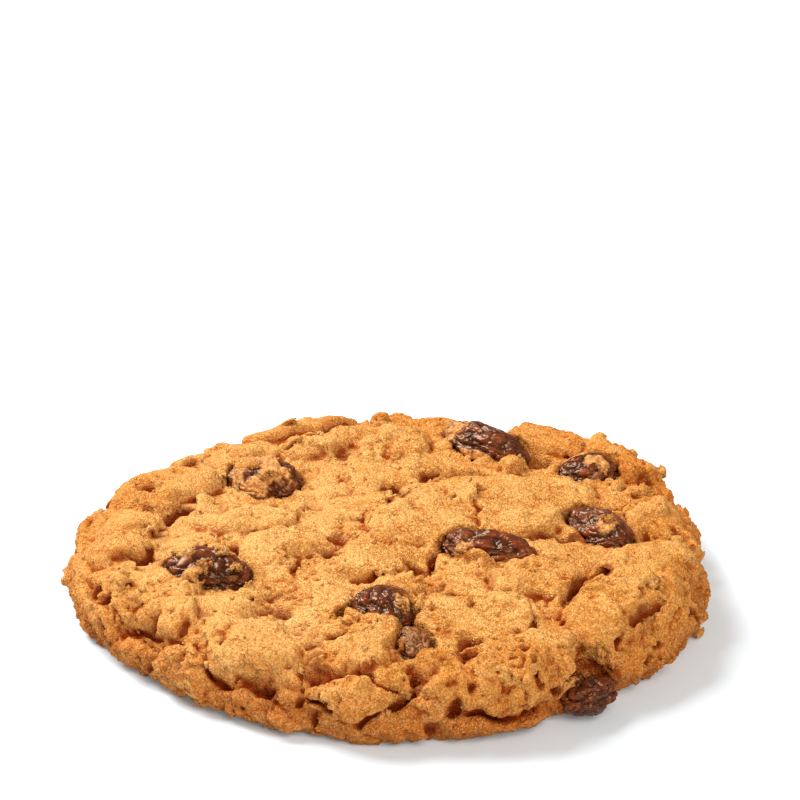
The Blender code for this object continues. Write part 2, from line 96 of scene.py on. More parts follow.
# The skin is laid out flat to place what is on it: past the edge, a place lies as
# far out from the middle as the skin runs on down the rim.
# Pillows of dough that rose: centre, half length and half width, turn, share of the rise
LOBE_RISE = 1.4
LOBE_STEEPNESS = 0.45
LOBES = (
    ((10.5, 4.5), (16.0, 8.8), 24.0, 1.2),
    ((29.4, -16.1), (13.5, 7.0), 62.0, 1.6),
    ((15.0, -34.0), (13.0, 6.0), 24.0, 1.4),
    ((14.6, -43.0), (8.0, 2.6), 18.0, 1.1),
    ((-0.8, -44.8), (7.5, 3.0), 0.0, 0.4),
    ((4.9, -34.9), (2.4, 1.8), 20.0, 1.0),
    ((4.7, -38.0), (2.6, 1.8), -10.0, 1.0),
    ((-5.2, -29.8), (9.0, 5.4), 18.0, 1.0),
    ((-5.5, -39.8), (6.4, 3.2), -8.0, 0.8),
    ((-21.8, -39.0), (9.0, 2.8), -28.0, 0.9),
    ((-27.6, -31.2), (6.0, 3.6), -42.0, 0.9),
    ((-16.3, -30.4), (7.0, 4.2), 12.0, 1.0),
    ((-39.6, -14.9), (6.2, 2.2), 110.0, 1.0),
    ((-32.9, 1.3), (4.6, 3.6), 20.0, 1.3),
    ((-34.0, -4.5), (5.0, 3.2), 30.0, 1.1),
    ((-29.0, -15.0), (8.0, 5.2), 62.0, 0.9),
    ((-25.9, -22.4), (2.4, 3.8), -10.0, 0.9),
    ((-29.3, 12.0), (8.5, 5.0), 30.0, 1.4),
    ((-21.5, 21.6), (7.0, 5.0), 38.0, 0.9),
    ((-9.5, 25.4), (6.5, 3.4), 18.0, 1.0),
    ((-12.6, 32.0), (8.0, 3.0), 22.0, 1.1),
    ((0.2, 14.6), (7.5, 4.6), 8.0, 1.1),
    ((-0.8, 26.2), (6.4, 4.2), 0.0, 0.8),
    ((-2.3, 33.6), (1.3, 1.1), 0.0, 0.9),
    ((20.4, 28.0), (6.2, 4.4), -30.0, 1.3),
    ((34.6, 19.6), (4.6, 3.4), -58.0, 0.8),
    ((40.4, 9.0), (3.4, 5.4), 0.0, 0.5),
    ((36.6, -21.4), (3.4, 6.0), -30.0, 0.5),
    ((-41.2, -2.6), (3.4, 11.0), 3.0, 0.6),
    ((40.0, -11.5), (3.4, 10.5), -13.0, 0.85),
    ((-34.7, -27.1), (9.0, 3.2), -52.0, 0.9),
    ((29.6, 21.4), (6.4, 5.0), -48.0, 1.3),
    ((32.4, 4.4), (5.6, 4.6), -70.0, 0.9),
    ((37.6, -0.5), (5.4, 2.8), 88.0, 1.1),
    ((33.0, -24.6), (7.0, 4.0), 50.0, 0.8),
    ((25.0, -31.0), (7.0, 4.0), 38.0, 0.8),
    ((-18.2, 2.3), (7.0, 3.2), 10.0, 0.9),
    ((-13.6, -5.2), (6.0, 4.2), 4.0, 0.8),
    ((-3.4, -10.2), (5.2, 3.6), 16.0, 0.8),
    ((17.6, -14.4), (6.4, 5.0), -8.0, 0.9),
    ((9.6, -22.8), (7.4, 5.6), -20.0, 0.7),
    ((14.8, 19.4), (2.2, 1.7), 0.0, 1.2),
    ((8.2, 16.4), (1.9, 1.6), 0.0, 1.0),
)

# Cracks: the places along each, width, depth
CRACK_TAPER = 1.15
CRACKS = (
    (((-32.2, 6.5), (-30.2, 5.0), (-28.5, 4.1), (-27.0, 5.7), (-25.0, 6.7)), 2.2, 2.4),
    (((-29.5, 14.4), (-25.7, 13.6)), 0.9, 0.8),
    (((-30.4, -2.8), (-30.4, -6.1), (-31.8, -7.3), (-33.7, -7.3), (-34.8, -7.9)), 1.5, 1.9),
    (((-15.1, 23.8), (-13.3, 24.1), (-11.4, 26.1), (-8.5, 29.1), (-6.6, 30.5)), 1.8, 1.8),
    (((-4.4, 19.8), (-2.9, 18.2), (-0.8, 18.8), (0.7, 20.4), (3.7, 21.1)), 1.5, 1.5),
    (((25.2, 6.1), (27.5, 7.3), (30.7, 8.3)), 1.8, 1.1),
    (((-5.1, 0.3), (-3.3, 2.3), (-1.4, 3.8), (0.1, 4.6), (1.1, 7.1), (3.0, 9.8)), 1.3, 1.4),
    (((3.0, 9.8), (4.0, 12.6), (5.9, 13.9)), 1.2, 1.2),
    (((9.1, 4.8), (9.5, 1.7), (9.2, -2.7)), 0.8, 0.6),
    (((6.6, -5.5), (4.6, -7.5), (3.5, -10.4), (1.7, -12.2), (-0.1, -12.2)), 1.6, 1.5),
    (((-6.2, -13.9), (-4.4, -13.8), (-1.6, -13.0)), 1.0, 1.0),
    (
        ((14.2, -5.5), (15.1, -3.1), (16.2, -1.7), (18.4, -1.0), (21.6, -1.8), (23.6, -3.3)),
        1.3, 1.3,
    ),
    (
        ((25.7, -11.9), (24.3, -14.2), (23.0, -13.5), (21.7, -16.2), (22.0, -18.6), (21.0, -20.1)),
        2.4, 2.4,
    ),
    (((35.0, 1.6), (35.1, -2.6), (35.9, -5.3), (36.6, -7.3)), 1.3, 1.3),
    (((-33.8, -21.0), (-31.0, -23.0), (-27.5, -25.4)), 1.3, 1.5),
    (((-35.1, -26.5), (-32.7, -26.8), (-30.7, -27.3)), 1.2, 1.2),
    (((-24.6, -23.4), (-25.1, -24.9), (-26.0, -25.8)), 1.3, 1.2),
    (
        ((-7.1, -36.2), (-5.3, -35.9), (-3.7, -35.9), (-2.8, -37.2), (-1.6, -38.0), (1.4, -39.8)),
        1.0, 1.5,
    ),
    (
        ((-12.6, -41.0), (-11.4, -39.7), (-9.8, -39.8),
         (-8.7, -41.1), (-7.8, -41.8), (-6.6, -41.1)),
        1.1, 1.4,
    ),
    (((2.0, -34.8), (2.2, -38.1), (1.7, -40.5), (0.5, -41.6), (-1.3, -42.2)), 1.9, 2.2),
    (((-1.3, -42.2), (-3.2, -42.9), (-4.9, -44.1), (-5.1, -45.1)), 1.5, 1.8),
    (
        ((7.8, -42.2), (10.6, -41.6), (13.1, -41.1), (16.1, -40.8), (18.0, -40.0), (19.8, -39.3)),
        1.0, 1.5,
    ),
    (((12.8, -33.7), (14.2, -33.2), (15.7, -34.0)), 1.1, 1.3),
    (((16.1, -34.8), (16.9, -36.0), (17.6, -36.7)), 1.0, 1.2),
    (((27.7, -25.5), (29.1, -23.4), (30.7, -21.3), (31.7, -20.4)), 1.0, 1.2),
    (((22.8, -29.2), (24.3, -29.8)), 0.9, 0.8),
    (((26.5, -26.9), (27.9, -28.9)), 0.9, 0.9),
    (((33.5, -24.3), (32.7, -26.2)), 0.9, 1.0),
    (((28.1, -30.3), (30.5, -32.0)), 1.1, 1.2),
    (((34.9, -14.4), (36.2, -17.0), (37.9, -16.9), (41.6, -15.1)), 1.1, 1.4),
    (((8.0, -18.9), (9.2, -21.3), (10.3, -23.0)), 0.7, 0.7),
    (((-37.4, -17.4), (-38.8, -18.5), (-41.0, -19.5)), 1.0, 1.2),
    (((-8.7, -26.6), (-6.0, -24.3), (-3.1, -23.3)), 0.8, 0.6),
    (((-7.7, -30.7), (-5.2, -28.5), (-2.8, -28.0)), 0.8, 0.6),
    (((-22.8, -31.1), (-23.0, -33.4), (-22.8, -34.9)), 1.0, 1.0),
    (((-20.5, -30.8), (-20.0, -28.6), (-18.9, -26.0)), 0.9, 0.8),
    (((9.4, 17.6), (11.2, 17.4), (13.0, 17.2)), 1.7, 2.6),
)

# Pits and hollows: centre, radius, depth
PIT_STEEPNESS = 0.7
PITS = (
    ((-31.7, 9.1), 1.3, 1.6),
    ((-22.7, -3.1), 1.0, 1.0),
    ((-19.8, -5.3), 1.2, 0.8),
    ((-36.3, -12.5), 1.6, 1.6),
    ((-35.8, -15.8), 1.0, 0.8),
    ((18.5, 21.0), 2.5, 2.8),
    ((31.2, 15.3), 1.8, 1.6),
    ((31.1, -1.6), 1.0, 1.0),
    ((-7.7, -8.5), 1.7, 2.4),
    ((-6.5, -3.6), 1.6, 0.9),
    ((-11.0, -11.6), 2.0, 1.2),
    ((1.9, -9.8), 1.7, 1.2),
    ((-6.3, -22.4), 1.1, 1.0),
    ((8.9, -29.2), 1.9, 1.2),
    ((22.3, -17.6), 1.6, 1.2),
    ((-15.4, -21.5), 3.4, 2.0),
    ((-20.1, -28.5), 1.0, 1.0),
    ((-22.5, -34.5), 1.1, 1.2),
    ((-17.0, -35.5), 3.2, 1.0),
    ((-8.5, -34.9), 3.4, 1.1),
    ((8.2, -33.6), 1.9, 1.5),
    ((5.5, -38.8), 0.9, 1.0),
    ((8.6, -38.2), 1.0, 1.1),
    ((7.1, -41.2), 1.1, 1.5),
    ((4.7, -45.0), 1.0, 1.2),
    ((12.4, -29.9), 0.9, 0.8),
    ((20.1, -23.1), 0.9, 0.6),
    ((21.1, -19.9), 1.2, 1.0),
    ((21.9, -27.9), 1.0, 0.8),
    ((20.0, -36.6), 1.0, 1.3),
    ((23.2, -32.3), 1.0, 1.1),
    ((32.1, -27.6), 1.1, 1.2),
    ((31.7, -16.7), 0.8, 0.6),
    ((32.9, -13.9), 0.8, 0.7),
    ((-8.3, -41.4), 0.9, 1.3),
    ((-10.4, -42.3), 0.8, 1.1),
    ((1.6, -31.2), 3.4, 2.0),
    ((1.4, -40.0), 1.6, 0.8),
)

# The rim's far side, which the lists above leave plain, has the same kinds of features by
# a rule: the directions it spans, how far out they lie on the laid-out skin, their sizes
BACK_SEED = 5
BACK_SPAN = (12.0, 176.0)
BACK_REACH = (38.5, 44.5)
BACK_LOBES = 15
BACK_LOBE_HALF = ((3.0, 6.5), (1.8, 3.2))
BACK_LOBE_SLANT = 20.0
BACK_LOBE_SHARE = (0.4, 0.9)
BACK_CRACKS = 13
BACK_CRACK_STEP = 0.022
BACK_CRACK_SIZE = (0.9, 1.6)
BACK_PITS = 14
BACK_PIT_RADIUS = (0.8, 1.8)
BACK_PIT_DEPTH = (0.6, 1.4)

# Where the skin broke into crumbs: centre, radius
CRUMBLY = (
    ((-23.0, -9.0), 6.5),
    ((-33.5, -20.0), 7.5),
    ((-27.0, -29.5), 8.0),
    ((-9.5, -39.0), 5.5),
    ((1.5, -37.5), 5.5),
    ((7.5, -33.5), 4.5),
    ((-14.5, -17.5), 5.5),
    ((-10.5, -8.0), 4.5),
    ((20.5, -18.5), 5.5),
    ((17.0, -11.5), 4.0),
    ((33.0, -24.5), 8.5),
    ((38.5, -13.0), 6.0),
    ((-31.0, 6.5), 4.0),
    ((31.5, 13.0), 5.0),
    ((-1.0, 20.0), 4.5),
    ((-22.0, -38.0), 7.0),
    ((-36.0, -29.0), 6.0),
    ((14.0, -36.5), 4.5),
    ((-5.0, -24.0), 5.0),
    ((-17.0, 8.5), 4.0),
    ((3.0, -16.0), 4.0),
)

# Skin broken in patches all over: size, noise layer, noise where it starts and where it is
# full, how broken. Skin is broken too beside cracks and pits, at lobes' edges, at the rim.
BROKEN_PATCHES = (5.0, 14.5, 0.2, 0.5, 0.35)
CRACK_FRINGE = 1.6
PIT_FRINGE = 0.8
LOBE_EDGE = ((0.0, 0.25), (-0.8, -0.4))
EDGE_BROKEN = 0.6
RIM_ZONE = (RADIUS - 4.0, RADIUS + 1.0)
RIM_BROKEN = 0.55

# Cracks at the feet of lobes, darkened there as painted shade too: where, size, noise layer,
# noise where they start and are full, depth
LOBE_FOOT = ((0.0, 0.10), (-0.5, -0.2))
FOOT_CRACKS = (3.6, 17.5, -0.25, 0.25, 0.8)

# Oat flakes in the crust, scattered by a rule
OAT_SEED = 11
OAT_COUNT = 150
OAT_HALF_LENGTH = (1.6, 3.0)
OAT_NARROWNESS = 0.66
OAT_HEIGHT = (0.15, 0.4)
OAT_SINK = 0.45

# More flakes: how many, whether on the rim, half length, narrowness, height
MORE_FLAKES = (
    (130, False, (0.8, 1.9), (0.5, 0.8), (0.0, 0.24)),
    (50, True, (1.0, 2.2), (0.5, 0.75), (-0.1, 0.1)),
)

# A flake: the skin that it follows, its thickness, lean, depth and raggedness, how it
# bends, the height and width of its ridge, and how proud of the skin its ends may be
FLAKE_SPREAD = 1.8
FLAKE_THICK = (0.30, 0.48)
FLAKE_LEAN = 0.08
FLAKE_DEPTH = 0.75
FLAKE_RAGGED = 0.30
FLAKE_BEND = (-0.10, 0.16)
FLAKE_BEND_SHARE = 0.6
FLAKE_RIDGE = (0.14, 0.16)
FLAKE_END = 0.8
FLAKE_PROUD = 0.35
FLAKE_JOIN = 0.22
GRIT = (1.3, 31)

# The dough's own unevenness: size of the bumps, height
UNEVENNESS = (
    (11.0, 0.7),
    (4.2, 0.30),
    (1.9, 0.07),
)
UNEVEN_LAYER = 20.5

# How lobes and cracks wander and fray: size of the bends, how far, their two noise layers
WANDERS = (
    (3.2, 0.9, 3.5, 8.5),
    (1.3, 0.30, 5.5, 6.5),
)

# Broken plates of crust: size across, rise, slope, gap between them
PLATES = (
    (5.6, 0.20, 0.07, 0.15),
    (2.7, 0.14, 0.10, 0.14),
)
PLATE_SEED = 91
PLATE_PUSH = 0.12
PLATE_EDGE = 0.16
PLATES_WHOLE = 0.3

# Painted shade in hollows: wide pits only in part, the gaps between plates from a depth on
WIDE_PIT = 1.9
PIT_PAINTED_SHADE = 0.4
GAP_PAINTED_SHADE = 1.6
GAP_DEPTH = (0.14, 0.4)

# Raisins: name, centre, half axes, turn about Z, tilt along their length
RAISINS = (
    ("raisin_back_left", (-16.7, 14.4, 9.2), (4.8, 5.4, 3.0), 20.0, 0.0),
    ("raisin_left", (-22.9, -11.3, 9.2), (5.7, 4.5, 2.9), -18.0, 0.0),
    ("raisin_back", (11.8, 25.4, 9.0), (6.9, 3.6, 2.9), -40.0, 4.0),
    ("raisin_back_right", (24.5, 18.2, 8.4), (4.1, 3.4, 2.7), 5.0, 0.0),
    ("raisin_right", (25.3, 0.4, 8.8), (6.2, 3.5, 2.9), -60.0, 0.0),
    ("raisin_centre", (11.3, -6.3, 9.8), (5.9, 3.2, 2.6), -12.0, 0.0),
    ("raisin_front", (-1.6, -21.8, 9.4), (3.7, 4.6, 3.0), 28.0, 0.0),
    ("raisin_front_sunk", (2.2, -29.2, 8.0), (2.4, 4.0, 2.4), 10.0, 0.0),
    ("raisin_rim", (22.6, -30.8, 2.9), (3.9, 3.3, 2.4), 38.0, 0.0),
    ("raisin_left_rim", (-37.0, 10.4, 5.3), (2.2, 2.6, 2.0), 0.0, 0.0),
)
RAISIN_FOLDS = 1.5
RAISIN_FOLD_DEPTH = 0.50
RAISIN_LUMP = 0.5
RAISIN_CREASE = 0.26
RAISIN_WRINKLE = 0.05

# Dough that lies over a raisin: patches as (aside, back, half width, half depth, turn)
DOUGH_PATCHES = {
    "raisin_back_left": ((1.2, -1.2, 2.2, 1.3, 10.0), (-2.6, 0.6, 1.2, 2.0, 20.0)),
    "raisin_left": ((-1.4, -3.6, 1.8, 0.8, 0.0),),
    "raisin_back": ((-3.4, -4.2, 2.0, 1.4, 0.0),),
    "raisin_centre": ((-2.6, -3.4, 3.0, 1.2, 4.0),),
    "raisin_front_sunk": ((-2.4, -2.6, 0.9, 1.6, 0.0),),
}

# Thin film of dough on a raisin's skin, as (aside, back, half width, half depth, strength)
FILMS = {
    "raisin_back_left": (
        (0.4, 1.6, 1.7, 3.4, 1.0),
        (1.0, -1.8, 2.8, 2.0, 1.0),
        (-3.0, 0.4, 1.8, 3.6, 0.7),
        (-1.6, -4.2, 2.4, 1.8, 0.9),
    ),
    "raisin_left": ((-2.4, 0.2, 1.5, 1.0, 0.9), (2.2, 1.0, 1.3, 0.7, 0.8)),
    "raisin_back": ((-4.4, 1.6, 2.2, 1.6, 0.8), (-3.0, -3.6, 2.4, 1.8, 0.9)),
    "raisin_back_right": ((1.0, -0.6, 2.2, 1.4, 1.0),),
    "raisin_right": ((0.4, -2.0, 1.5, 1.3, 0.9),),
    "raisin_centre": ((-3.6, -1.6, 2.4, 1.4, 0.7),),
    "raisin_front": ((2.4, -0.8, 1.0, 2.2, 0.8),),
    "raisin_front_sunk": ((0.0, -1.0, 3.0, 5.0, 0.3),),
    "raisin_rim": ((-1.4, 0.6, 1.4, 1.2, 0.6),),
    "raisin_left_rim": ((0.0, 0.0, 3.0, 3.0, 0.8),),
}
FILM_NOISE = ((0.9, 2.5, 0.5), (2.4, 7.5, 0.3))
FILM_EDGE = (3.0, 1.05)
FILM_THICK = 0.14

# A raisin's pocket: how far it opens upward, dough left below the skin, the collar of dough
# round it (height, where, width), its ragged edge, and the stain with painted shade and the broken
# skin round it
OPEN_ABOVE = 0.3
RAISIN_CORE = 1.7
POCKET_RAGS = (1.5, 51)
POCKET_FRAYS = (0.8, 52)
POCKET_REACH = 2.4
COLLAR = (0.35, 0.4, 0.8)
POCKET_EDGE = (0.05, 0.20)
POCKET_BROKEN = (0.5, 1.2, 0.6)
POCKET_STAIN_AND_PAINTED_SHADE = (0.9, 0.75, 0.35)

# A patch of dough on a raisin: raggedness of its outline, how far off the skin, half
# thickness, lowest place, how softly it joins
PATCH_RAGGED = (0.45, 0.35)
PATCH_LIFT = (0.08, 0.14)
PATCH_THICK = (0.34, 0.10)
PATCH_SLOPE = 0.8
PATCH_LOW = 0.5
PATCH_JOIN = 0.35

# Crumbs stuck to raisins: raisin, aside, back, spread, how many
STUCK_CRUMBS = (
    ("raisin_left", -2.6, 0.4, 1.2, 34),
    ("raisin_left", 2.0, 1.0, 0.9, 16),
    ("raisin_left", -0.6, -2.6, 1.6, 26),
    ("raisin_left", 3.4, -2.2, 0.9, 10),
    ("raisin_back_left", 0.6, -3.2, 1.4, 14),
    ("raisin_right", 1.0, -2.0, 0.8, 10),
    ("raisin_rim", -0.6, 0.8, 1.4, 12),
    ("raisin_front", 2.4, -2.0, 0.8, 8),
)

# Broken skin has crags, whole skin only low lumps: size, height whole, height broken
CRAGS = (
    (5.5, 0.16, 0.34),
    (2.6, 0.06, 0.38),
    (1.3, 0.04, 0.50),
    (0.75, 0.03, 0.46),
    (0.50, 0.02, 0.34),
)

CRAG_SEED = 11
CRAG_CUT = 0.55

# Ledges of the skin: size, seed, step, where a step rises, height whole, more where broken
LEDGE_WAVE = (2.6, 24)
LEDGE_STEP = 0.5
LEDGE_RISE = (0.36, 0.64)
LEDGE_HEIGHT = (0.05, 0.33)

# Creases of broken skin: size and seed, width, where they are, depth
CREASE_WAVE = (2.4, 25)
CREASE_WIDTH = 0.13
CREASE_PATCHES = (6.0, 26)
CREASE_START = (-0.2, 0.6)
CREASE_DEPTH = 0.8

# Pores: how many, every which one is on the rim, radius (least, more, how rare), flatness
PORE_SEED = 71
PORES = 36
RIM_PORES = 4
PORE_RADIUS = (0.25, 0.45, 2.5)
PORE_DEPTH = (-0.1, 0.5)
PORE_RAGGED = 0.5
PORE_FLATNESS = 1.3
PORE_JOIN = 0.15

# The underside: how far off the floor, its hollows (size and seed, where, depth), its grain
BASE_GAP = 0.02
BASE_HOLLOWS = (2.4, 61)
BASE_HOLLOW = (0.9, 1.2, 0.5)
BASE_GRAIN = (0.9, 62)
BASE_ROUGH = (2.0, 0.09)

# What baked dough can't hold: reach, least share of dough round a place, most
WHISKER = (1.0, 0.25)
WISP = (0.5, 0.20, 0.86)
SETTLED = 2.5
# How far round a place the share of dough is measured, for painted shade in hollows and in broad
# valleys
HOLLOW_REACH = 0.9
VALLEY_REACH = 2.4

# Loose crumbs: piece, how many, radii, fineness, seed
LOOSE_CRUMBS = (
    ("fine_crumbs", 9000, (0.07, 0.24), 1, 81),
    ("coarse_crumbs", 350, (0.20, 0.60), 2, 82),
)
SMALL_ARE_MORE = 2.2
CRUMB_SINK = (-0.5, 0.3)
CRUMB_FACING = -0.45
CRUMB_LOWEST = 0.8
CRUMB_ROOM = 0.05
CRUMB_WHOLE = 0.35
CRUMB_KINDS = 5
CRUMB_RAGGED = 0.28
CRUMB_SQUASH = (0.55, 1.1)
CRUMB_LIGHTER = 0.08
CRUMB_STAIN_AND_PAINTED_SHADE = 0.7
RAISIN_CLEAR = (0.8, 0.3)
STUCK_SEED = 83
STUCK_SPREAD = (0.5, 0.4)
STUCK_NEAR = 0.3
STUCK_RADIUS = (0.16, 0.34, 1.5)
STUCK_LIFT = 0.4
STUCK_FINENESS = 2

# Fineness of the modelled dough
CELL = 0.26
MARGIN = 1.2
LAID_OUT = 52.0
SKIN_RAGS = ((2.6, 101), (2.6, 102))
SKIN_RAG = 0.5
TOP_GAP = 0.1
LOWEST_SKIN = 1.0
HAIR = 0.001
CRUST_TRIANGLES = 195000
RAISIN_FINENESS = 6

# Noise in the materials: size in millimetres, detail, roughness, warp
GRAINS = {
    "edge": (9.0, 3.0, 0.6, 0.0),
    "low": (5.0, 3.0, 0.6, 0.0),
    "mottle": (4.0, 4.0, 0.6, 0.0),
    "sandy": (0.26, 2.0, 0.6, 0.0),
    "toasted": (0.8, 2.0, 0.5, 0.4),
    "dots": (0.42, 1.0, 0.5, 0.0),
    "dull": (1.2, 3.0, 0.6, 0.0),
    "lumps": (0.9, 3.0, 0.6, 0.0),
    "cracked": (3.4, 2.0, 0.6, 0.0),
    "skin": (1.8, 3.0, 0.6, 0.0),
    "dusty": (2.2, 4.0, 0.7, 0.0),
    "speckled": (0.4, 3.0, 0.7, 0.0),
    "skin_dull": (1.0, 3.0, 0.6, 0.0),
    "wrinkled": (1.3, 1.0, 0.5, 1.0),
}
CRUST_CELL = 0.22
EDGE_WAVER = 0.014
LOW_WAVER = 0.003
HAIRLINE_PATCH = 3.2
HAIRLINE_BEND = (900.0, 3.0, 0.0014)
HAIRLINE_WIDTH = 0.045
HAIRLINE_AREA = (0.50, 0.60)

# From which value of what is measured a shade starts, and at which it is full
SPREADS = {
    "edge": (0.024, 0.038),
    "back": (-0.02, 0.02),
    "left": (0.004, -0.014),
    "low": (0.0085, 0.0025),
    "mottle": (0.35, 0.65),
    "broken": (0.15, 0.8),
    "oat": (0.3, 0.9),
    "pale": (0.54, 0.72),
    "dark": (0.44, 0.28),
    "sandy": (0.50, 0.36),
    "toasted": (0.62, 0.74),
    "hollow": (0.51, 0.68),
    "valley": (0.53, 0.70),
    "sunk": (0.2, 1.2),
    "dots": (0.72, 0.80),
    "skin": (0.35, 0.7),
    "fold": (0.4, 1.3),
    "dusty": (0.54, 0.72),
    "speckled": (0.35, 0.6),
    "covered": (0.1, 0.95),
}
EDGE_SHADE = (0.22, 0.52)
PALE_SHADE = (0.44, 0.20)

# Colours of the crust, 0 to 255, laid over each other in this order: where, how much
TAN, GOLDEN = (190, 130, 61), (214, 161, 90)
CRUST_SHADES = (
    # left: painted light, the left side paler where the key lamp falls on it
    ("left", 0.38, (240, 196, 128)),
    ("broken", 0.45, (216, 142, 62)),
    ("back", 0.32, (200, 130, 58)),
    ("edge", 1.0, (200, 122, 44)),
    ("low", 0.7, (180, 94, 28)),
    ("oat", 0.4, (232, 184, 112)),
    ("pale", 1.0, (248, 208, 140)),
    ("dark", 0.34, (168, 86, 26)),
    ("sandy", 0.32, (172, 90, 28)),
    ("hairlines", 0.55, (168, 80, 22)),
    ("toasted", 0.30, (172, 88, 28)),
    # hollow, valley: painted shade, darker where more dough lies round a place
    ("hollow", 0.85, (162, 64, 12)),
    ("valley", 0.75, (140, 48, 10)),
    # sunk: painted shade in cracks, pits and gaps, with real stain and painted shade round raisins
    ("sunk", 0.80, (128, 44, 12)),
    ("dots", 0.5, (138, 64, 18)),
)
CRUST_DULL = (0.62, 0.3)
CRUST_BUMP = (1.0, 0.00034)
CRUST_SOCKETS = {
    "Subsurface Weight": 0.16,
    "Subsurface Radius": (1.0, 0.45, 0.16),
    "Subsurface Scale": 0.0012,
    "Specular IOR Level": 0.06,
    "Specular Tint": (1.0, 0.72, 0.42, 1.0),
}

# Colours of raisin skin and of the dough on it; the deep colour is painted shade in the folds
RAISIN_DARK, RAISIN_LIGHT = (64, 24, 10), (114, 50, 20)
RAISIN_FOLD_PAINTED_SHADE, RAISIN_DUST = (46, 16, 8), (172, 112, 70)
FILM_DARK, FILM_LIGHT = (168, 106, 54), (216, 158, 96)
DUST_SHARE, FILM_SHARE = 0.40, 0.92
RAISIN_DULL = (0.16, 0.20, 0.25, 0.45)
RAISIN_BUMP = (0.6, 0.00035)
RAISIN_SOCKETS = {
    "Specular IOR Level": 0.40,
    "Specular Tint": (1.0, 0.74, 0.46, 1.0),
}
FLOOR_SOCKETS = {
    "Base Color": (0.61, 0.685, 0.785, 1.0),
    "Emission Color": (0.84, 0.95, 1.0, 1.0),
    "Emission Strength": 0.10,
    "Roughness": 0.9,
    "Specular IOR Level": 0.1,
}
FLOOR_SIZE = 6.0

# Lights: name, place in metres, size, power, colour; and the light all round
LIGHTS = (
    ("key", (-0.52, 0.34, 0.66), 0.56, 16.2, (1.0, 0.97, 0.92)),
    ("front", (0.34, -0.66, 0.62), 0.60, 8.6, (1.0, 0.91, 0.80)),
)
SURROUND = {"Color": (1.0, 0.84, 0.66, 1.0), "Strength": 0.40}

# Camera: lens and film in millimetres, place in millimetres, degrees below level
LENS = 180.7
FILM_WIDTH = 36.0
CAMERA_PLACE = (0.47, -448.6, 227.0)
CAMERA_DIP = 24.02
SIGHT = 10.0


def noise_at(x, y, size, layer):
    """Smooth noise between about -1 and 1 at each point, in bumps of a given size."""
    samples = zip(x.ravel() / size, y.ravel() / size)
    values = [noise.noise((u, v, layer)) for u, v in samples]
    return np.array(values).reshape(x.shape)


def lifted(theta):
    """How far the edge is curled up in a direction, from 0 to 1."""
    turn = np.degrees(theta) - LIFT_DIRECTION
    turn = (turn + 180.0) % 360.0 - 180.0
    return np.exp(-(turn / LIFT_SPREAD) ** 2)


def outline_radius(theta):
    """The cookie's reach in a direction."""
    reach = np.full_like(theta, RADIUS)
    for waves, size, crest in OUTLINE_WAVES:
        reach = reach + size * np.cos(waves * (theta - math.radians(crest)))
    return reach


def lobe_height(x, y, centre, half, turn, height):
    """A pillow of dough: nearly flat on top and steep at its edge."""
    cosine, sine = math.cos(math.radians(turn)), math.sin(math.radians(turn))
    along = ((x - centre[0]) * cosine + (y - centre[1]) * sine) / half[0]
    across = ((y - centre[1]) * cosine - (x - centre[0]) * sine) / half[1]
    inside = np.clip(1.0 - (along ** 2 + across ** 2) ** 2, 0.0, 1.0)
    return height * inside ** LOBE_STEEPNESS


def crack_depth(x, y, line, width, depth):
    """A crack along a broken line, tapering to both ends."""
    lengths = [math.dist(start, end) for start, end in zip(line, line[1:])]
    total, done = sum(lengths), 0.0
    sunk = np.zeros_like(x)
    for (start, end), length in zip(zip(line, line[1:]), lengths):
        run_x, run_y = (end[0] - start[0]) / length, (end[1] - start[1]) / length
        along = np.clip((x - start[0]) * run_x + (y - start[1]) * run_y, 0.0, length)
        away = np.hypot(x - start[0] - along * run_x, y - start[1] - along * run_y)
        share = (done + along) / total
        taper = np.clip(CRACK_TAPER - (2.0 * share - 1.0) ** 4, 0.0, 1.0)
        wall = np.clip(1.0 - (away / (0.5 * width * taper)) ** 2, 0.0, 1.0)
        sunk = np.maximum(sunk, depth * taper * wall)
        done += length
    return sunk


def pit_depth(x, y, centre, radius, depth):
    """A round hollow with soft sides."""
    away = ((x - centre[0]) ** 2 + (y - centre[1]) ** 2) / radius ** 2
    return depth * np.clip(1.0 - away, 0.0, 1.0) ** PIT_STEEPNESS


def plate_height(x, y, size, rise, slope, gap, seed):
    """Plates of crust side by side, each at its own height and slope, sunk where they part."""
    draw = np.random.default_rng(seed)
    cells = int(math.ceil(LAID_OUT / size)) + 2
    shift = draw.random((2 * cells, 2 * cells, 2))
    lie = draw.normal(0.0, 1.0, (2 * cells, 2 * cells, 3))
    column = np.floor(x / size).astype(int) + cells
    row = np.floor(y / size).astype(int) + cells
    nearest = np.full_like(x, 9.0 * size)
    second = nearest.copy()
    height = np.zeros_like(x)
    for step_x, step_y in itertools.product((-1, 0, 1), repeat=2):
        i = np.clip(column + step_x, 0, 2 * cells - 1)
        j = np.clip(row + step_y, 0, 2 * cells - 1)
        aside = x - (i - cells + shift[i, j, 0]) * size
        back = y - (j - cells + shift[i, j, 1]) * size
        away = np.hypot(aside, back) + PLATE_PUSH * size * lie[i, j, 0]
        closer = away < nearest
        second = np.where(closer, nearest, np.minimum(second, away))
        nearest = np.where(closer, away, nearest)
        level = rise * lie[i, j, 0] + slope * (lie[i, j, 1] * aside + lie[i, j, 2] * back)
        height = np.where(closer, level, height)
    return height - gap * (1.0 - smooth_step(second - nearest, 0.0, PLATE_EDGE * size))


def around_back(draw, share):
    """A place on the far rim at a share of its span: its direction in degrees, and itself."""
    turn = BACK_SPAN[0] + (BACK_SPAN[1] - BACK_SPAN[0]) * share
    distance = draw.uniform(*BACK_REACH)
    return turn, (distance * math.cos(math.radians(turn)), distance * math.sin(math.radians(turn)))


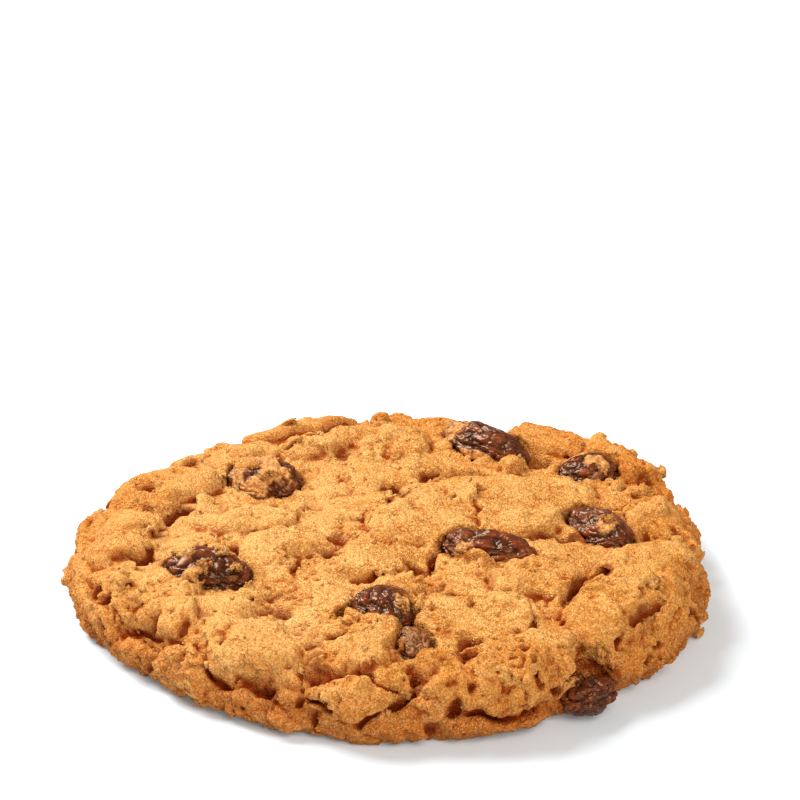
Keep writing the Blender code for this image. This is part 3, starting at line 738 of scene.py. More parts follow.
def back_rim():
    """The lobes, cracks and pits of the rim's far side."""
    draw = random.Random(BACK_SEED)
    lobes, cracks, pits = [], [], []
    for step in range(BACK_LOBES):
        turn, centre = around_back(draw, (step + draw.random()) / BACK_LOBES)
        half = tuple(draw.uniform(*span) for span in BACK_LOBE_HALF)
        slant = turn + 90.0 + draw.gauss(0.0, BACK_LOBE_SLANT)
        lobes.append((centre, half, slant, draw.uniform(*BACK_LOBE_SHARE)))
    for step in range(BACK_CRACKS):
        start = (step + draw.random()) / BACK_CRACKS
        line = [around_back(draw, start + BACK_CRACK_STEP * place)[1] for place in range(4)]
        middle = [0.5 * (line[0][axis] + line[-1][axis]) for axis in range(2)]
        line = [tuple(0.5 * (point[axis] + middle[axis]) for axis in range(2)) for point in line]
        width = draw.uniform(*BACK_CRACK_SIZE)
        cracks.append((tuple(line), width, draw.uniform(*BACK_CRACK_SIZE)))
    for _ in range(BACK_PITS):
        centre = around_back(draw, draw.random())[1]
        radius = draw.uniform(*BACK_PIT_RADIUS)
        pits.append((centre, radius, draw.uniform(*BACK_PIT_DEPTH)))
    return lobes, cracks, pits


def random_place(draw, reach):
    """A place anywhere on the cookie within a reach of its middle."""
    distance = reach * math.sqrt(draw.random())
    direction = draw.uniform(0.0, 2.0 * math.pi)
    return distance * math.cos(direction), distance * math.sin(direction)


def oat_flakes():
    """The places, sizes, turns and heights of the oat flakes in the crust."""
    draw = random.Random(OAT_SEED)
    flakes = []
    for _ in range(OAT_COUNT):
        centre = random_place(draw, RADIUS + 0.5)
        half_length = draw.uniform(*OAT_HALF_LENGTH)
        half = (half_length, half_length * OAT_NARROWNESS)
        flakes.append((centre, half, draw.uniform(0.0, 180.0), draw.uniform(*OAT_HEIGHT)))
    return flakes


def relief(x, y):
    """How far the crust stands out from the smooth body, how broken it is, and its painted shade in
    cracks, pits and gaps.
    """
    warped_x, warped_y = x, y
    for size, far, layer_x, layer_y in WANDERS:
        warped_x = warped_x + far * noise_at(x, y, size, layer_x)
        warped_y = warped_y + far * noise_at(x, y, size, layer_y)
    back_lobes, back_cracks, back_pits = back_rim()
    raised = np.zeros_like(x)
    for lobe in (*LOBES, *back_lobes):
        raised = np.maximum(raised, lobe_height(warped_x, warped_y, *lobe))
    sunk = np.zeros_like(x)
    size, layer, start, full, share = BROKEN_PATCHES
    broken = smooth_step(noise_at(x, y, size, layer), start, full) * share
    for line, width, depth in (*CRACKS, *back_cracks):
        sunk = np.maximum(sunk, crack_depth(warped_x, warped_y, line, width, depth))
        fringe = crack_depth(warped_x, warped_y, line, width + CRACK_FRINGE, 1.0)
        broken = np.maximum(broken, fringe)
    # dark is painted shade: cracks, pits, lobe feet and gaps between plates are darkened by their
    # depth
    dark = sunk.copy()
    for centre, radius, depth in (*PITS, *back_pits):
        hollow = pit_depth(warped_x, warped_y, centre, radius, depth)
        sunk = np.maximum(sunk, hollow)
        dark = np.maximum(dark, hollow * (PIT_PAINTED_SHADE if radius > WIDE_PIT else 1.0))
        fringe = pit_depth(warped_x, warped_y, centre, radius + PIT_FRINGE, 1.0)
        broken = np.maximum(broken, fringe)
    for centre, radius in CRUMBLY:
        broken = np.maximum(broken, pit_depth(warped_x, warped_y, centre, radius, 1.0))
    uneven = np.zeros_like(x)
    for layer, (size, height) in enumerate(UNEVENNESS):
        uneven = uneven + height * noise_at(x, y, size, UNEVEN_LAYER + layer)
    edge, foot = (
        smooth_step(raised, *outer) * smooth_step(-raised, *inner)
        for outer, inner in (LOBE_EDGE, LOBE_FOOT)
    )
    size, layer, start, full, depth = FOOT_CRACKS
    foot = depth * foot * smooth_step(noise_at(x, y, size, layer), start, full)
    sunk, dark = np.maximum(sunk, foot), np.maximum(dark, foot)
    rim = smooth_step(np.hypot(x, y), *RIM_ZONE)
    broken = np.maximum(broken, np.maximum(EDGE_BROKEN * edge, RIM_BROKEN * rim))
    broken = np.clip(broken, 0.0, 1.0)
    plates = np.zeros_like(x)
    for seed, plate in enumerate(PLATES, start=PLATE_SEED):
        plates = plates + plate_height(warped_x, warped_y, *plate, seed)
    plates = plates * (PLATES_WHOLE + (1.0 - PLATES_WHOLE) * broken)
    dark = dark + GAP_PAINTED_SHADE * np.clip(-plates - GAP_DEPTH[0], 0.0, GAP_DEPTH[1])
    return LOBE_RISE * raised + plates + uneven - sunk, broken, dark


def smooth_step(value, low, high):
    """0 below low, 1 above high, and a soft rise between."""
    share = np.clip((value - low) / (high - low), 0.0, 1.0)
    return share * share * (3.0 - 2.0 * share)


def blend_shapes(first, second, softness):
    """Join two shapes, given by their distances, with a soft crease."""
    share = np.clip(0.5 + 0.5 * (second - first) / softness, 0.0, 1.0)
    return second * (1.0 - share) + first * share - softness * share * (1.0 - share)


class Dough:
    """The dough as distances to its skin on a grid of cells, below 0 inside."""

    def __init__(self, low, high):
        counts = [int(math.ceil((high[axis] - low[axis]) / CELL)) + 1 for axis in range(3)]
        self.low = np.array(low)
        self.axes = [
            (low[axis] + CELL * np.arange(counts[axis])).astype(np.float32) for axis in range(3)
        ]
        self.distance = np.zeros(counts, dtype=np.float32)
        self.oat = np.zeros(counts, dtype=np.float32)

    def wave(self, size, seed, stretch=1.0):
        """Smooth random waves of a given size all over the grid."""
        draw = np.random.default_rng(seed)
        weights = []
        for axis, places in enumerate(self.axes):
            step = size * (stretch if axis == 2 else 1.0)
            scaled = (places - places[0]) / step
            base = np.floor(scaled).astype(int)
            part = scaled - base
            table = np.zeros((len(places), base[-1] + 4), dtype=np.float32)
            rows = np.arange(len(places))
            table[rows, base] = (1.0 - part) ** 3 / 6.0
            table[rows, base + 1] = (3.0 * part ** 3 - 6.0 * part ** 2 + 4.0) / 6.0
            table[rows, base + 2] = (-3.0 * part ** 3 + 3.0 * part ** 2 + 3.0 * part + 1.0) / 6.0
            table[rows, base + 3] = part ** 3 / 6.0
            weights.append(table)
        values = draw.normal(0.0, 1.0, [table.shape[1] for table in weights]).astype(np.float32)
        values = np.tensordot(weights[2], values, (1, 2))
        values = np.tensordot(weights[1], values, (1, 2))
        values = np.tensordot(weights[0], values, (1, 2))
        return values * np.float32(1.9)

    def block(self, centre, reach):
        """The part of the grid within reach of a point, and the places there."""
        cut, places = [], []
        for axis in range(3):
            first = int((centre[axis] - reach - self.low[axis]) / CELL)
            last = int((centre[axis] + reach - self.low[axis]) / CELL) + 2
            first, last = max(0, first), min(len(self.axes[axis]), last)
            cut.append(slice(first, max(first, last)))
            shape = [1, 1, 1]
            shape[axis] = -1
            places.append((self.axes[axis][cut[axis]] - centre[axis]).reshape(shape))
        return tuple(cut), places

    def sample(self, values, points):
        """Values of the grid at points, from the eight cells round each."""
        scaled = (points - self.low) / CELL
        limit = np.array(values.shape) - 2
        base = np.clip(np.floor(scaled).astype(int), 0, limit)
        part = np.clip(scaled - base, 0.0, 1.0)
        result = np.zeros(len(points))
        for corner in range(8):
            step = np.array([corner >> 2 & 1, corner >> 1 & 1, corner & 1])
            share = np.prod(np.where(step, part, 1.0 - part), axis=1)
            cell = base + step
            result += share * values[cell[:, 0], cell[:, 1], cell[:, 2]]
        return result

    def facing(self, point, spread=0.9):
        """Which way the skin faces near a point."""
        steps = np.eye(3) * spread
        places = np.concatenate([point + steps, point - steps])
        values = self.sample(self.distance, places)
        slope = Vector(values[:3] - values[3:])
        return slope.normalized() if slope.length > 1e-6 else Vector((0.0, 0.0, 1.0))

    def skin_along(self, start, heading, reach):
        """The first point of the skin on a line, or None."""
        count = int(reach / (0.5 * CELL))
        line = np.array(start) + np.outer(np.arange(count) * 0.5 * CELL, np.array(heading))
        values = self.sample(self.distance, line)
        inside = np.nonzero(values < 0.0)[0]
        return line[inside[0]] if len(inside) else None

    def skin_below(self, place):
        """The first point of the skin straight down at a place, or None."""
        above = float(self.axes[2][-1]) - TOP_GAP
        return self.skin_along((*place, above), (0.0, 0.0, -1.0), above - LOWEST_SKIN)


def shape_body(dough):
    """The rounded slab with its lobes, cracks and pits."""
    x, y = np.meshgrid(dough.axes[0], dough.axes[1], indexing="ij")
    x, y = x.astype(float), y.astype(float)
    theta = np.arctan2(y, x)
    lift = lifted(theta)
    level = (BELLY_HEIGHT + LIFTED_BELLY * lift)[:, :, None].astype(np.float32)
    undercut = (UNDERCUT_WIDTH + LIFTED_UNDERCUT * lift)[:, :, None].astype(np.float32)
    inward = (outline_radius(theta) - np.hypot(x, y))[:, :, None].astype(np.float32)
    top = RIM_HEIGHT + (CENTRE_HEIGHT - RIM_HEIGHT) * (1.0 - (x * x + y * y) / RADIUS ** 2)
    top = top[:, :, None].astype(np.float32)
    z = dough.axes[2][None, None, :]
    upper = z > level
    width = np.where(upper, SHOULDER_WIDTH, undercut)
    half = np.where(upper, top - level, level)
    out_share = np.clip(1.0 - inward / width, 0.0, None)
    up_share = np.abs(z - level) / half
    total = np.maximum(out_share ** ROUNDNESS + up_share ** ROUNDNESS, 1e-4)
    slope_out = out_share ** (ROUNDNESS - 1.0) / width
    slope_up = up_share ** (ROUNDNESS - 1.0) / half
    slope = np.hypot(slope_out, slope_up) * total ** (1.0 / ROUNDNESS - 1.0)
    distance = (total ** (1.0 / ROUNDNESS) - 1.0) / np.maximum(slope, 0.05)
    strength = np.where(upper, 1.0, np.clip(1.0 - up_share ** 2, 0.0, 1.0))
    flat = np.arange(-LAID_OUT, LAID_OUT + CELL, CELL)
    # The third value holds the painted shade of cracks, pits and gaps, kept as sunk
    height, broken, sunk = relief(*np.meshgrid(flat, flat, indexing="ij"))
    reach = outline_radius(theta)[:, :, None].astype(np.float32)
    radius = np.maximum(np.hypot(x, y), 0.01)[:, :, None].astype(np.float32)
    down = np.clip(top - z, 0.0, None) * smooth_step(-inward, -4.0, -0.8)
    stretch = (np.minimum(radius, reach) + down) / radius
    rows, columns = (
        (flat_place[:, :, None] * stretch + SKIN_RAG * dough.wave(*rags) + LAID_OUT) / CELL
        for flat_place, rags in zip((x, y), SKIN_RAGS)
    )
    dough.distance = distance - look_up(height, rows, columns) * strength
    dough.distance = np.clip(dough.distance, -4.0, 4.0).astype(np.float32)
    dough.broken = look_up(broken, rows, columns).astype(np.float32)
    dough.sunk = look_up(sunk, rows, columns).astype(np.float32)


def look_up(table, rows, columns):
    """Values of a flat table between its rows and columns."""
    rows = np.clip(rows, 0.0, table.shape[0] - 1.001)
    columns = np.clip(columns, 0.0, table.shape[1] - 1.001)
    row, column = rows.astype(np.int32), columns.astype(np.int32)
    part_x, part_y = rows - row, columns - column
    table = table.astype(np.float32)
    near = table[row, column] * (1.0 - part_y) + table[row, column + 1] * part_y
    far = table[row + 1, column] * (1.0 - part_y) + table[row + 1, column + 1] * part_y
    return near * (1.0 - part_x) + far * part_x


def roughen(dough):
    """Lumps and crags, low where the skin is whole and deep where it broke."""
    for seed, (size, whole, broken) in enumerate(CRAGS, start=CRAG_SEED):
        lumps = np.clip(np.abs(dough.wave(size, seed)) - CRAG_CUT, -CRAG_CUT, 1.0)
        dough.distance -= (whole + (broken - whole) * dough.broken) * lumps
    steps = dough.wave(*LEDGE_WAVE) / LEDGE_STEP
    whole = np.floor(steps)
    ledges = whole + smooth_step(steps - whole, *LEDGE_RISE) - steps
    dough.distance -= (LEDGE_HEIGHT[0] + LEDGE_HEIGHT[1] * dough.broken) * ledges
    crease = np.clip(1.0 - np.abs(dough.wave(*CREASE_WAVE)) / CREASE_WIDTH, 0.0, 1.0)
    where = smooth_step(dough.wave(*CREASE_PATCHES), *CREASE_START) * dough.broken
    dough.distance += CREASE_DEPTH * where * crease


def rim_point(dough, draw):
    """A point of the skin on the rim, at a random direction and height."""
    direction = draw.uniform(0.0, 2.0 * math.pi)
    height = draw.uniform(1.2, 7.0)
    outward = (math.cos(direction), math.sin(direction))
    start = (outward[0] * (RADIUS + 2.6), outward[1] * (RADIUS + 2.6), height)
    return dough.skin_along(start, (-outward[0], -outward[1], 0.0), 9.0)


def lay_flake(dough, point, half, turn, height, draw):
    """Set an oat flake into the skin: a thin, slightly bent oval plate."""
    normal = dough.facing(point, FLAKE_SPREAD)
    lean = Vector([draw.gauss(0, FLAKE_LEAN) for _ in range(3)])
    normal = (normal + lean).normalized()
    along = Vector((math.cos(math.radians(turn)), math.sin(math.radians(turn)), 0.02))
    along = (along - normal * along.dot(normal)).normalized()
    across = normal.cross(along)
    thick = draw.uniform(*FLAKE_THICK)
    centre = Vector(point) + normal * (height - FLAKE_DEPTH * thick)
    ends = [centre + side * reach * FLAKE_END for side, reach in zip((along, across), half)]
    ends += [2.0 * centre - end for end in ends]
    if dough.sample(dough.distance, np.array(ends)).max() > FLAKE_PROUD:
        return
    cut, (x, y, z) = dough.block(centre, half[0] + 0.9)
    if min(part.stop - part.start for part in cut) < 1:
        return
    u, v, w = (x * side.x + y * side.y + z * side.z for side in (along, across, normal))
    ragged = 1.0 + FLAKE_RAGGED * dough.grit[cut]
    w = w + draw.uniform(*FLAKE_BEND) * (u / half[0]) ** 2 * half[0] * FLAKE_BEND_SHARE
    ridge, ridge_width = FLAKE_RIDGE
    w = w + ridge * np.exp(-(v / (ridge_width * half[1])) ** 2)
    scaled = np.sqrt((u / half[0]) ** 2 + (v / half[1]) ** 2 + (w / thick) ** 2) * ragged
    steep = np.sqrt((u / half[0] ** 2) ** 2 + (v / half[1] ** 2) ** 2 + (w / thick ** 2) ** 2)
    flake = (scaled * (scaled - 1.0) / np.maximum(steep, 0.05)).astype(np.float32)
    flake = np.where(scaled < 0.05, -thick, flake)
    near = smooth_step(dough.distance[cut] - flake, -0.12, 0.12) * (flake < 0.5)
    dough.oat[cut] = np.maximum(dough.oat[cut] * (1.0 - 0.5 * near), near)
    dough.distance[cut] = blend_shapes(dough.distance[cut], flake, FLAKE_JOIN)


def lay_flakes(dough):
    """All the oat flakes of the crust, on its top and round its rim."""
    draw = random.Random(OAT_SEED + 1)
    dough.grit = dough.wave(*GRIT)
    for centre, half, turn, height in oat_flakes():
        point = dough.skin_below(centre)
        if point is not None:
            lay_flake(dough, point, half, turn, OAT_SINK * height, draw)
    for count, on_rim, lengths, narrowness, heights in MORE_FLAKES:
        for _ in range(count):
            if on_rim:
                point = rim_point(dough, draw)
            else:
                point = dough.skin_below(random_place(draw, RADIUS - 1.0))
            length = draw.uniform(*lengths)
            if point is not None:
                half = (length, length * draw.uniform(*narrowness))
                turn = draw.uniform(0.0, 180.0)
                lay_flake(dough, point, half, turn, draw.uniform(*heights), draw)


def open_pores(dough):
    """Small broken bubbles in the skin."""
    draw = random.Random(PORE_SEED)
    for index in range(PORES):
        if index % RIM_PORES:
            point = dough.skin_below(random_place(draw, RADIUS - 0.5))
        else:
            point = rim_point(dough, draw)
        if point is None:
            continue
        least, more, rarity = PORE_RADIUS
        radius = least + more * draw.random() ** rarity
        normal = dough.facing(point, 0.5)
        centre = Vector(point) - normal * radius * draw.uniform(*PORE_DEPTH)
        cut, (x, y, z) = dough.block(centre, radius + 0.7)
        size = radius * (1.0 + PORE_RAGGED * dough.grit[cut])
        away = (np.sqrt(x * x + y * y + (PORE_FLATNESS * z) ** 2) - size).astype(np.float32)
        dough.distance[cut] = -blend_shapes(-dough.distance[cut], away, PORE_JOIN)


def seat_raisins(dough):
    """Open each raisin's pocket, with dough drawn up round it and patches over it."""
    ragged = dough.wave(*POCKET_RAGS)
    frayed = dough.wave(*POCKET_FRAYS)
    collar, collar_place, collar_width = COLLAR
    for name, centre, half, turn, tilt in RAISINS:
        cut, (x, y, z) = dough.block(centre, max(half) + POCKET_REACH)
        rags, frays = ragged[cut], frayed[cut]
        turned = raisin_turn(turn, tilt)
        local = [
            x * turned[0][axis] + y * turned[1][axis] + z * turned[2][axis] for axis in range(3)
        ]
        away = reach_from(local, half)
        local[2] = np.where(local[2] > 0.0, OPEN_ABOVE * local[2], local[2])
        opening = reach_from(local, half)
        skin = dough.distance[cut]
        skin = skin - collar * np.exp(-((away - collar_place) / collar_width) ** 2)
        skin = np.maximum(skin, -(opening + POCKET_EDGE[0] + POCKET_EDGE[1] * rags))
        skin = np.minimum(skin, away + RAISIN_CORE)
        for aside, back, wide, deep, slant in DOUGH_PATCHES.get(name, ()):
            cosine, sine = math.cos(math.radians(slant)), math.sin(math.radians(slant))
            along = ((x - aside) * cosine + (y - back) * sine) / wide
            across = ((y - back) * cosine - (x - aside) * sine) / deep
            spread = (np.hypot(along, across) - 1.0) * min(wide, deep)
            spread = spread + PATCH_RAGGED[0] * rags + PATCH_RAGGED[1] * frays
            sheet = np.abs(away - PATCH_LIFT[0] - PATCH_LIFT[1] * rags)
            sheet = sheet - PATCH_THICK[0] - PATCH_THICK[1] * frays
            patch = np.maximum(np.maximum(sheet, PATCH_SLOPE * spread), -z - PATCH_LOW)
            skin = blend_shapes(skin, patch.astype(np.float32), PATCH_JOIN)
        dough.distance[cut] = skin
        start, width, share = POCKET_BROKEN
        near = np.exp(-(np.clip(away - start, 0.0, None) / width) ** 2)
        dough.broken[cut] = np.maximum(dough.broken[cut], share * near.astype(np.float32))
        # Round the pocket the crust is darkened: real raisin stain and painted shade together
        width, least, more = POCKET_STAIN_AND_PAINTED_SHADE
        stain_and_painted_shade = np.exp(-(np.clip(away, 0.0, None) / width) ** 2) * (least + more * rags)
        dough.sunk[cut] = np.maximum(dough.sunk[cut], stain_and_painted_shade.astype(np.float32))


def raisin_turn(turn, tilt):
    """A raisin's rotation: a turn about Z, and before it a tilt along its length."""
    turned = Matrix.Rotation(math.radians(turn), 3, "Z")
    return turned @ Matrix.Rotation(math.radians(tilt), 3, "Y")


def reach_from(local, half):
    """How far places lie outside an ellipsoid, or below 0 inside it."""
    scaled = np.sqrt(sum((part / size) ** 2 for part, size in zip(local, half)))
    steep = np.sqrt(sum((part / size ** 2) ** 2 for part, size in zip(local, half)))
    away = scaled * (scaled - 1.0) / np.maximum(steep, 0.08)
    return np.where(scaled < 0.1, -min(half), away).astype(np.float32)


def settle(dough):
    """Drop whiskers and close pinholes that are finer than baked dough holds."""
    reach, least = WHISKER
    share = fill_share(dough, reach)
    dough.distance = np.maximum(dough.distance, SETTLED * (least - share))
    reach, least, most = WISP
    share = fill_share(dough, reach)
    dough.distance = np.maximum(dough.distance, SETTLED * (least - share))
    dough.distance = np.minimum(dough.distance, SETTLED * (most - share))


def flatten_base(dough):
    """The underside, flat where the cookie was baked on its sheet, with open pores."""
    z = dough.axes[2][None, None, :]
    start, most, depth = BASE_HOLLOW
    hollow = np.clip(dough.wave(*BASE_HOLLOWS) - start, 0.0, most) * depth
    rough = np.clip(dough.wave(*BASE_GRAIN), 0.0, BASE_ROUGH[0]) * BASE_ROUGH[1]
    base = (BASE_GAP + hollow + rough - z).astype(np.float32)
    dough.distance = np.maximum(dough.distance, base)


def fill_share(dough, reach):
    """How much of the room round each cell is dough, from 0 to 1."""
    solid = np.clip(0.5 - dough.distance / CELL, 0.0, 1.0)
    cells = int(round(0.7 * reach / CELL))
    for axis in (0, 1, 2, 0, 1, 2):
        pad = [(0, 0)] * 3
        pad[axis] = (cells + 1, cells)
        sums = np.cumsum(np.pad(solid, pad, mode="edge"), axis=axis, dtype=np.float64)
        length = solid.shape[axis]
        ahead = np.take(sums, np.arange(length) + 2 * cells + 1, axis=axis)
        behind = np.take(sums, np.arange(length), axis=axis)
        solid = ((ahead - behind) / (2 * cells + 1)).astype(np.float32)
    return solid


def show(name, mesh, material):
    """A smooth-shaded object of a mesh, in its material."""
    mesh.shade_smooth()
    mesh.materials.append(material)
    piece = bpy.data.objects.new(name, mesh)
    bpy.context.scene.collection.objects.link(piece)
    return piece


def mesh_piece(name, points, faces, material):
    """An object from points in millimetres."""
    mesh = bpy.data.meshes.new(name)
    mesh.from_pydata((np.asarray(points) * MM).tolist(), [], faces)
    mesh.validate()
    return show(name, mesh, material)


def main_part(points, faces):
    """The points and faces of the largest connected part of a mesh."""
    part = np.arange(len(points))
    edges = np.stack([faces, np.roll(faces, 1, axis=1)], axis=2).reshape(-1, 2)
    while True:
        lowest = np.minimum(part[edges[:, 0]], part[edges[:, 1]])
        joined = part.copy()
        np.minimum.at(joined, edges[:, 0], lowest)
        np.minimum.at(joined, edges[:, 1], lowest)
        joined = joined[joined]
        if np.array_equal(joined, part):
            break
        part = joined
    kept = part == np.argmax(np.bincount(part))
    renumbered = np.cumsum(kept) - 1
    return points[kept], renumbered[faces[kept[faces[:, 0]]]].tolist()


def close_gaps(piece):
    """Fill the pinholes that a skin thinner than a cell leaves."""
    shell = bmesh.new()
    shell.from_mesh(piece.data)
    rims = [edge for edge in shell.edges if len(edge.link_faces) == 1]
    bmesh.ops.holes_fill(shell, edges=rims, sides=0)
    shell.to_mesh(piece.data)
    shell.free()


def keep_inside(piece):
    """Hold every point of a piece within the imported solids' box."""
    points = np.zeros(3 * len(piece.data.vertices), dtype=np.float32)
    piece.data.vertices.foreach_get("co", points)
    held = np.clip(points.reshape(-1, 3), (CAD_LOW + HAIR) * MM, (CAD_HIGH - HAIR) * MM)
    piece.data.vertices.foreach_set("co", held.astype(np.float32).ravel())
    piece.data.update()


def thin_out(piece, triangles):
    """Keep about so many triangles of a piece, most of them where it is uneven."""
    thinner = piece.modifiers.new("thinner", "DECIMATE")
    thinner.ratio = triangles / sum(len(face.vertices) - 2 for face in piece.data.polygons)
    thinner.use_collapse_triangulate = True
    shown = piece.evaluated_get(bpy.context.evaluated_depsgraph_get())
    mesh = bpy.data.meshes.new_from_object(shown)
    piece.modifiers.clear()
    piece.data = mesh


def keep_values(piece, name, values):
    """Store one number for each point of a piece, for its material."""
    layer = piece.data.attributes.new(name, "FLOAT", "POINT")
    layer.data.foreach_set("value", np.asarray(values, dtype=np.float32))


def make_crust(material):
    """The baked body as one closed mesh, with values for its material."""
    low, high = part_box("cookie")
    low = [value / MM - MARGIN for value in low]
    high = [value / MM + MARGIN for value in high]
    dough = Dough(low, high)
    shape_body(dough)
    lay_flakes(dough)
    seat_raisins(dough)
    roughen(dough)
    open_pores(dough)
    settle(dough)
    flatten_base(dough)
    grid = openvdb.FloatGrid(3.0 * CELL)
    held = np.clip(dough.distance, -3.0 * CELL, 3.0 * CELL)
    grid.copyFromArray(held.astype(np.float32))
    points, _, faces = grid.convertToPolygons(isovalue=0.0, adaptivity=0.0)
    points = points * CELL + dough.low
    crust = mesh_piece("crust", *main_part(points, faces), material)
    close_gaps(crust)
    thin_out(crust, CRUST_TRIANGLES)
    keep_inside(crust)
    places = np.array([corner.co[:] for corner in crust.data.vertices]) / MM
    # Shares of dough round each point, which the material paints as shade in hollows and valleys
    dough.hollow = fill_share(dough, HOLLOW_REACH)
    dough.valley = fill_share(dough, VALLEY_REACH)
    for name in ("hollow", "valley", "oat", "sunk", "broken"):
        keep_values(crust, name, dough.sample(getattr(dough, name), places))
    return crust, dough


def grain_shape(draw, rounds):
    """A rough little lump of about unit radius: its points and faces."""
    ball = bmesh.new()
    bmesh.ops.create_icosphere(ball, subdivisions=rounds, radius=1.0)
    points = np.array([corner.co[:] for corner in ball.verts])
    faces = np.array([[corner.index for corner in face.verts] for face in ball.faces])
    ball.free()
    return points * (1.0 + draw.normal(0.0, CRUMB_RAGGED, (len(points), 1))), faces


def random_turns(draw, count):
    """So many random rotations, as 3 by 3 tables."""
    q = draw.normal(0.0, 1.0, (count, 4))
    w, x, y, z = (q / np.linalg.norm(q, axis=1, keepdims=True)).T
    rows = (
        (1 - 2 * (y * y + z * z), 2 * (x * y - z * w), 2 * (x * z + y * w)),
        (2 * (x * y + z * w), 1 - 2 * (x * x + z * z), 2 * (y * z - x * w)),
        (2 * (x * z - y * w), 2 * (y * z + x * w), 1 - 2 * (x * x + y * y)),
    )
    return np.moveaxis(np.array(rows), 2, 0)


def scatter_grains(name, crust, dough, count, sizes, rounds, seed, material):
    """Loose crumbs and grains baked onto the crust, as one mesh."""
    draw = np.random.default_rng(seed)
    total = len(crust.data.polygons)
    centres, facings, areas = np.zeros(total * 3), np.zeros(total * 3), np.zeros(total)
    crust.data.polygons.foreach_get("center", centres)
    crust.data.polygons.foreach_get("normal", facings)
    crust.data.polygons.foreach_get("area", areas)
    centres, facings = centres.reshape(-1, 3) / MM, facings.reshape(-1, 3)
    chance = areas * (facings[:, 2] > CRUMB_FACING) * (centres[:, 2] > CRUMB_LOWEST)
    room = sizes[1] + CRUMB_ROOM
    clear = (centres > CAD_LOW + room) & (centres < CAD_HIGH - room)
    chance = chance * clear.all(axis=1) * (CRUMB_WHOLE + dough.sample(dough.broken, centres))
    reach, fewer = RAISIN_CLEAR
    for _, centre, half, _, _ in RAISINS:
        near = np.linalg.norm(centres - np.array(centre), axis=1) < reach * max(half)
        chance = chance * np.where(near, fewer, 1.0)
    chosen = draw.choice(total, count, p=chance / chance.sum())
    places, facings = centres[chosen], facings[chosen]
    size = sizes[0] + (sizes[1] - sizes[0]) * draw.random(count) ** SMALL_ARE_MORE
    places = places + facings * (size * draw.uniform(*CRUMB_SINK, count))[:, None]
    return grain_piece(name, draw, places, size, rounds, dough, material)


def grain_piece(name, draw, places, size, rounds, dough, material):
    """One mesh of rough grains at given places."""
    count = len(places)
    shapes = [grain_shape(draw, rounds) for _ in range(CRUMB_KINDS)]
    faces = shapes[0][1]
    kind = draw.integers(0, len(shapes), count)
    base = np.array([points for points, _ in shapes])[kind]
    squash = draw.uniform(*CRUMB_SQUASH, (count, 1, 3))
    base = np.einsum("nij,nkj->nki", random_turns(draw, count), base * squash)
    points = (base * size[:, None, None] + places[:, None, :]).reshape(-1, 3)
    offsets = np.arange(count)[:, None, None] * base.shape[1]
    piece = mesh_piece(name, points, (faces[None] + offsets).reshape(-1, 3).tolist(), material)
    keep_inside(piece)
    # Crumbs carry the painted shade and stain of the crust where they sit, with a little less shade
    # in hollows
    kept = {
        "hollow": dough.sample(dough.hollow, places) - CRUMB_LIGHTER,
        "valley": dough.sample(dough.valley, places),
        "sunk": CRUMB_STAIN_AND_PAINTED_SHADE * dough.sample(dough.sunk, places),
        "oat": draw.random(count),
    }
    for key, values in kept.items():
        keep_values(piece, key, np.repeat(values, base.shape[1]))
    return piece


def stick_crumbs(raisins, dough, material):
    """Crumbs of dough stuck to the raisins."""
    draw = np.random.default_rng(STUCK_SEED)
    least, more, rarity = STUCK_RADIUS
    places, sizes = [], []
    for name, aside, back, spread, count in STUCK_CRUMBS:
        centre = next(row[1] for row in RAISINS if row[0] == name)
        skin = np.array([corner.co[:] for corner in raisins[name].data.vertices]) / MM
        for _ in range(count):
            x = centre[0] + aside + draw.normal(0.0, STUCK_SPREAD[0] * spread)
            y = centre[1] + back + draw.normal(0.0, STUCK_SPREAD[1] * spread)
            near = np.hypot(skin[:, 0] - x, skin[:, 1] - y) < STUCK_NEAR
            if near.any():
                size = least + more * draw.random() ** rarity
                places.append((x, y, skin[near, 2].max() + STUCK_LIFT * size))
                sizes.append(size)
    places, sizes = np.array(places), np.array(sizes)
    return grain_piece("stuck_crumbs", draw, places, sizes, STUCK_FINENESS, dough, material)


def raisin_fold(direction, seed, half):
    """How far a raisin's skin lies inside its ellipsoid at a direction."""
    place = direction * RAISIN_FOLDS + Vector((3.1, 1.7, 5.3)) * seed
    fold = max(0.0, 1.0 - 2.0 * abs(noise.noise(place))) ** 1.5
    lump = noise.noise(direction * 0.9 - place)
    along, across = 1.2, 2.2
    bent = direction + 0.35 * noise.noise_vector(direction * 1.6 + place)
    fine = noise.noise(stretched(bent, half, along, across) + place)
    finer = noise.noise(stretched(bent, half, 3.0 * along, 2.4 * across) - place)
    crease = max(0.0, 1.0 - 4.0 * abs(fine)) ** 1.3
    small = max(0.0, 1.0 - 4.0 * abs(finer))
    depth = RAISIN_FOLD_DEPTH * fold + RAISIN_LUMP * lump + RAISIN_CREASE * crease
    depth += RAISIN_WRINKLE * small
    return depth, fold + 0.5 * crease


def stretched(direction, half, along, across):
    """A direction scaled less along the raisin's length than across it."""
    if half[0] >= half[1]:
        return Vector((direction.x * along, direction.y * across, direction.z * across))
    return Vector((direction.x * across, direction.y * along, direction.z * across))


def film_at(name, x, y):
    """How thick the film of dough is on a raisin, from 0 to 1, at a place from its middle."""
    film = 0.0
    for aside, back, wide, deep, strength in FILMS[name]:
        away = math.hypot((x - aside) / wide, (y - back) / deep)
        for scale, layer, far in FILM_NOISE:
            away = away + far * noise.noise((x * scale, y * scale, layer))
        film = max(film, strength * min(1.0, max(0.0, FILM_EDGE[0] * (FILM_EDGE[1] - away))))
    return film


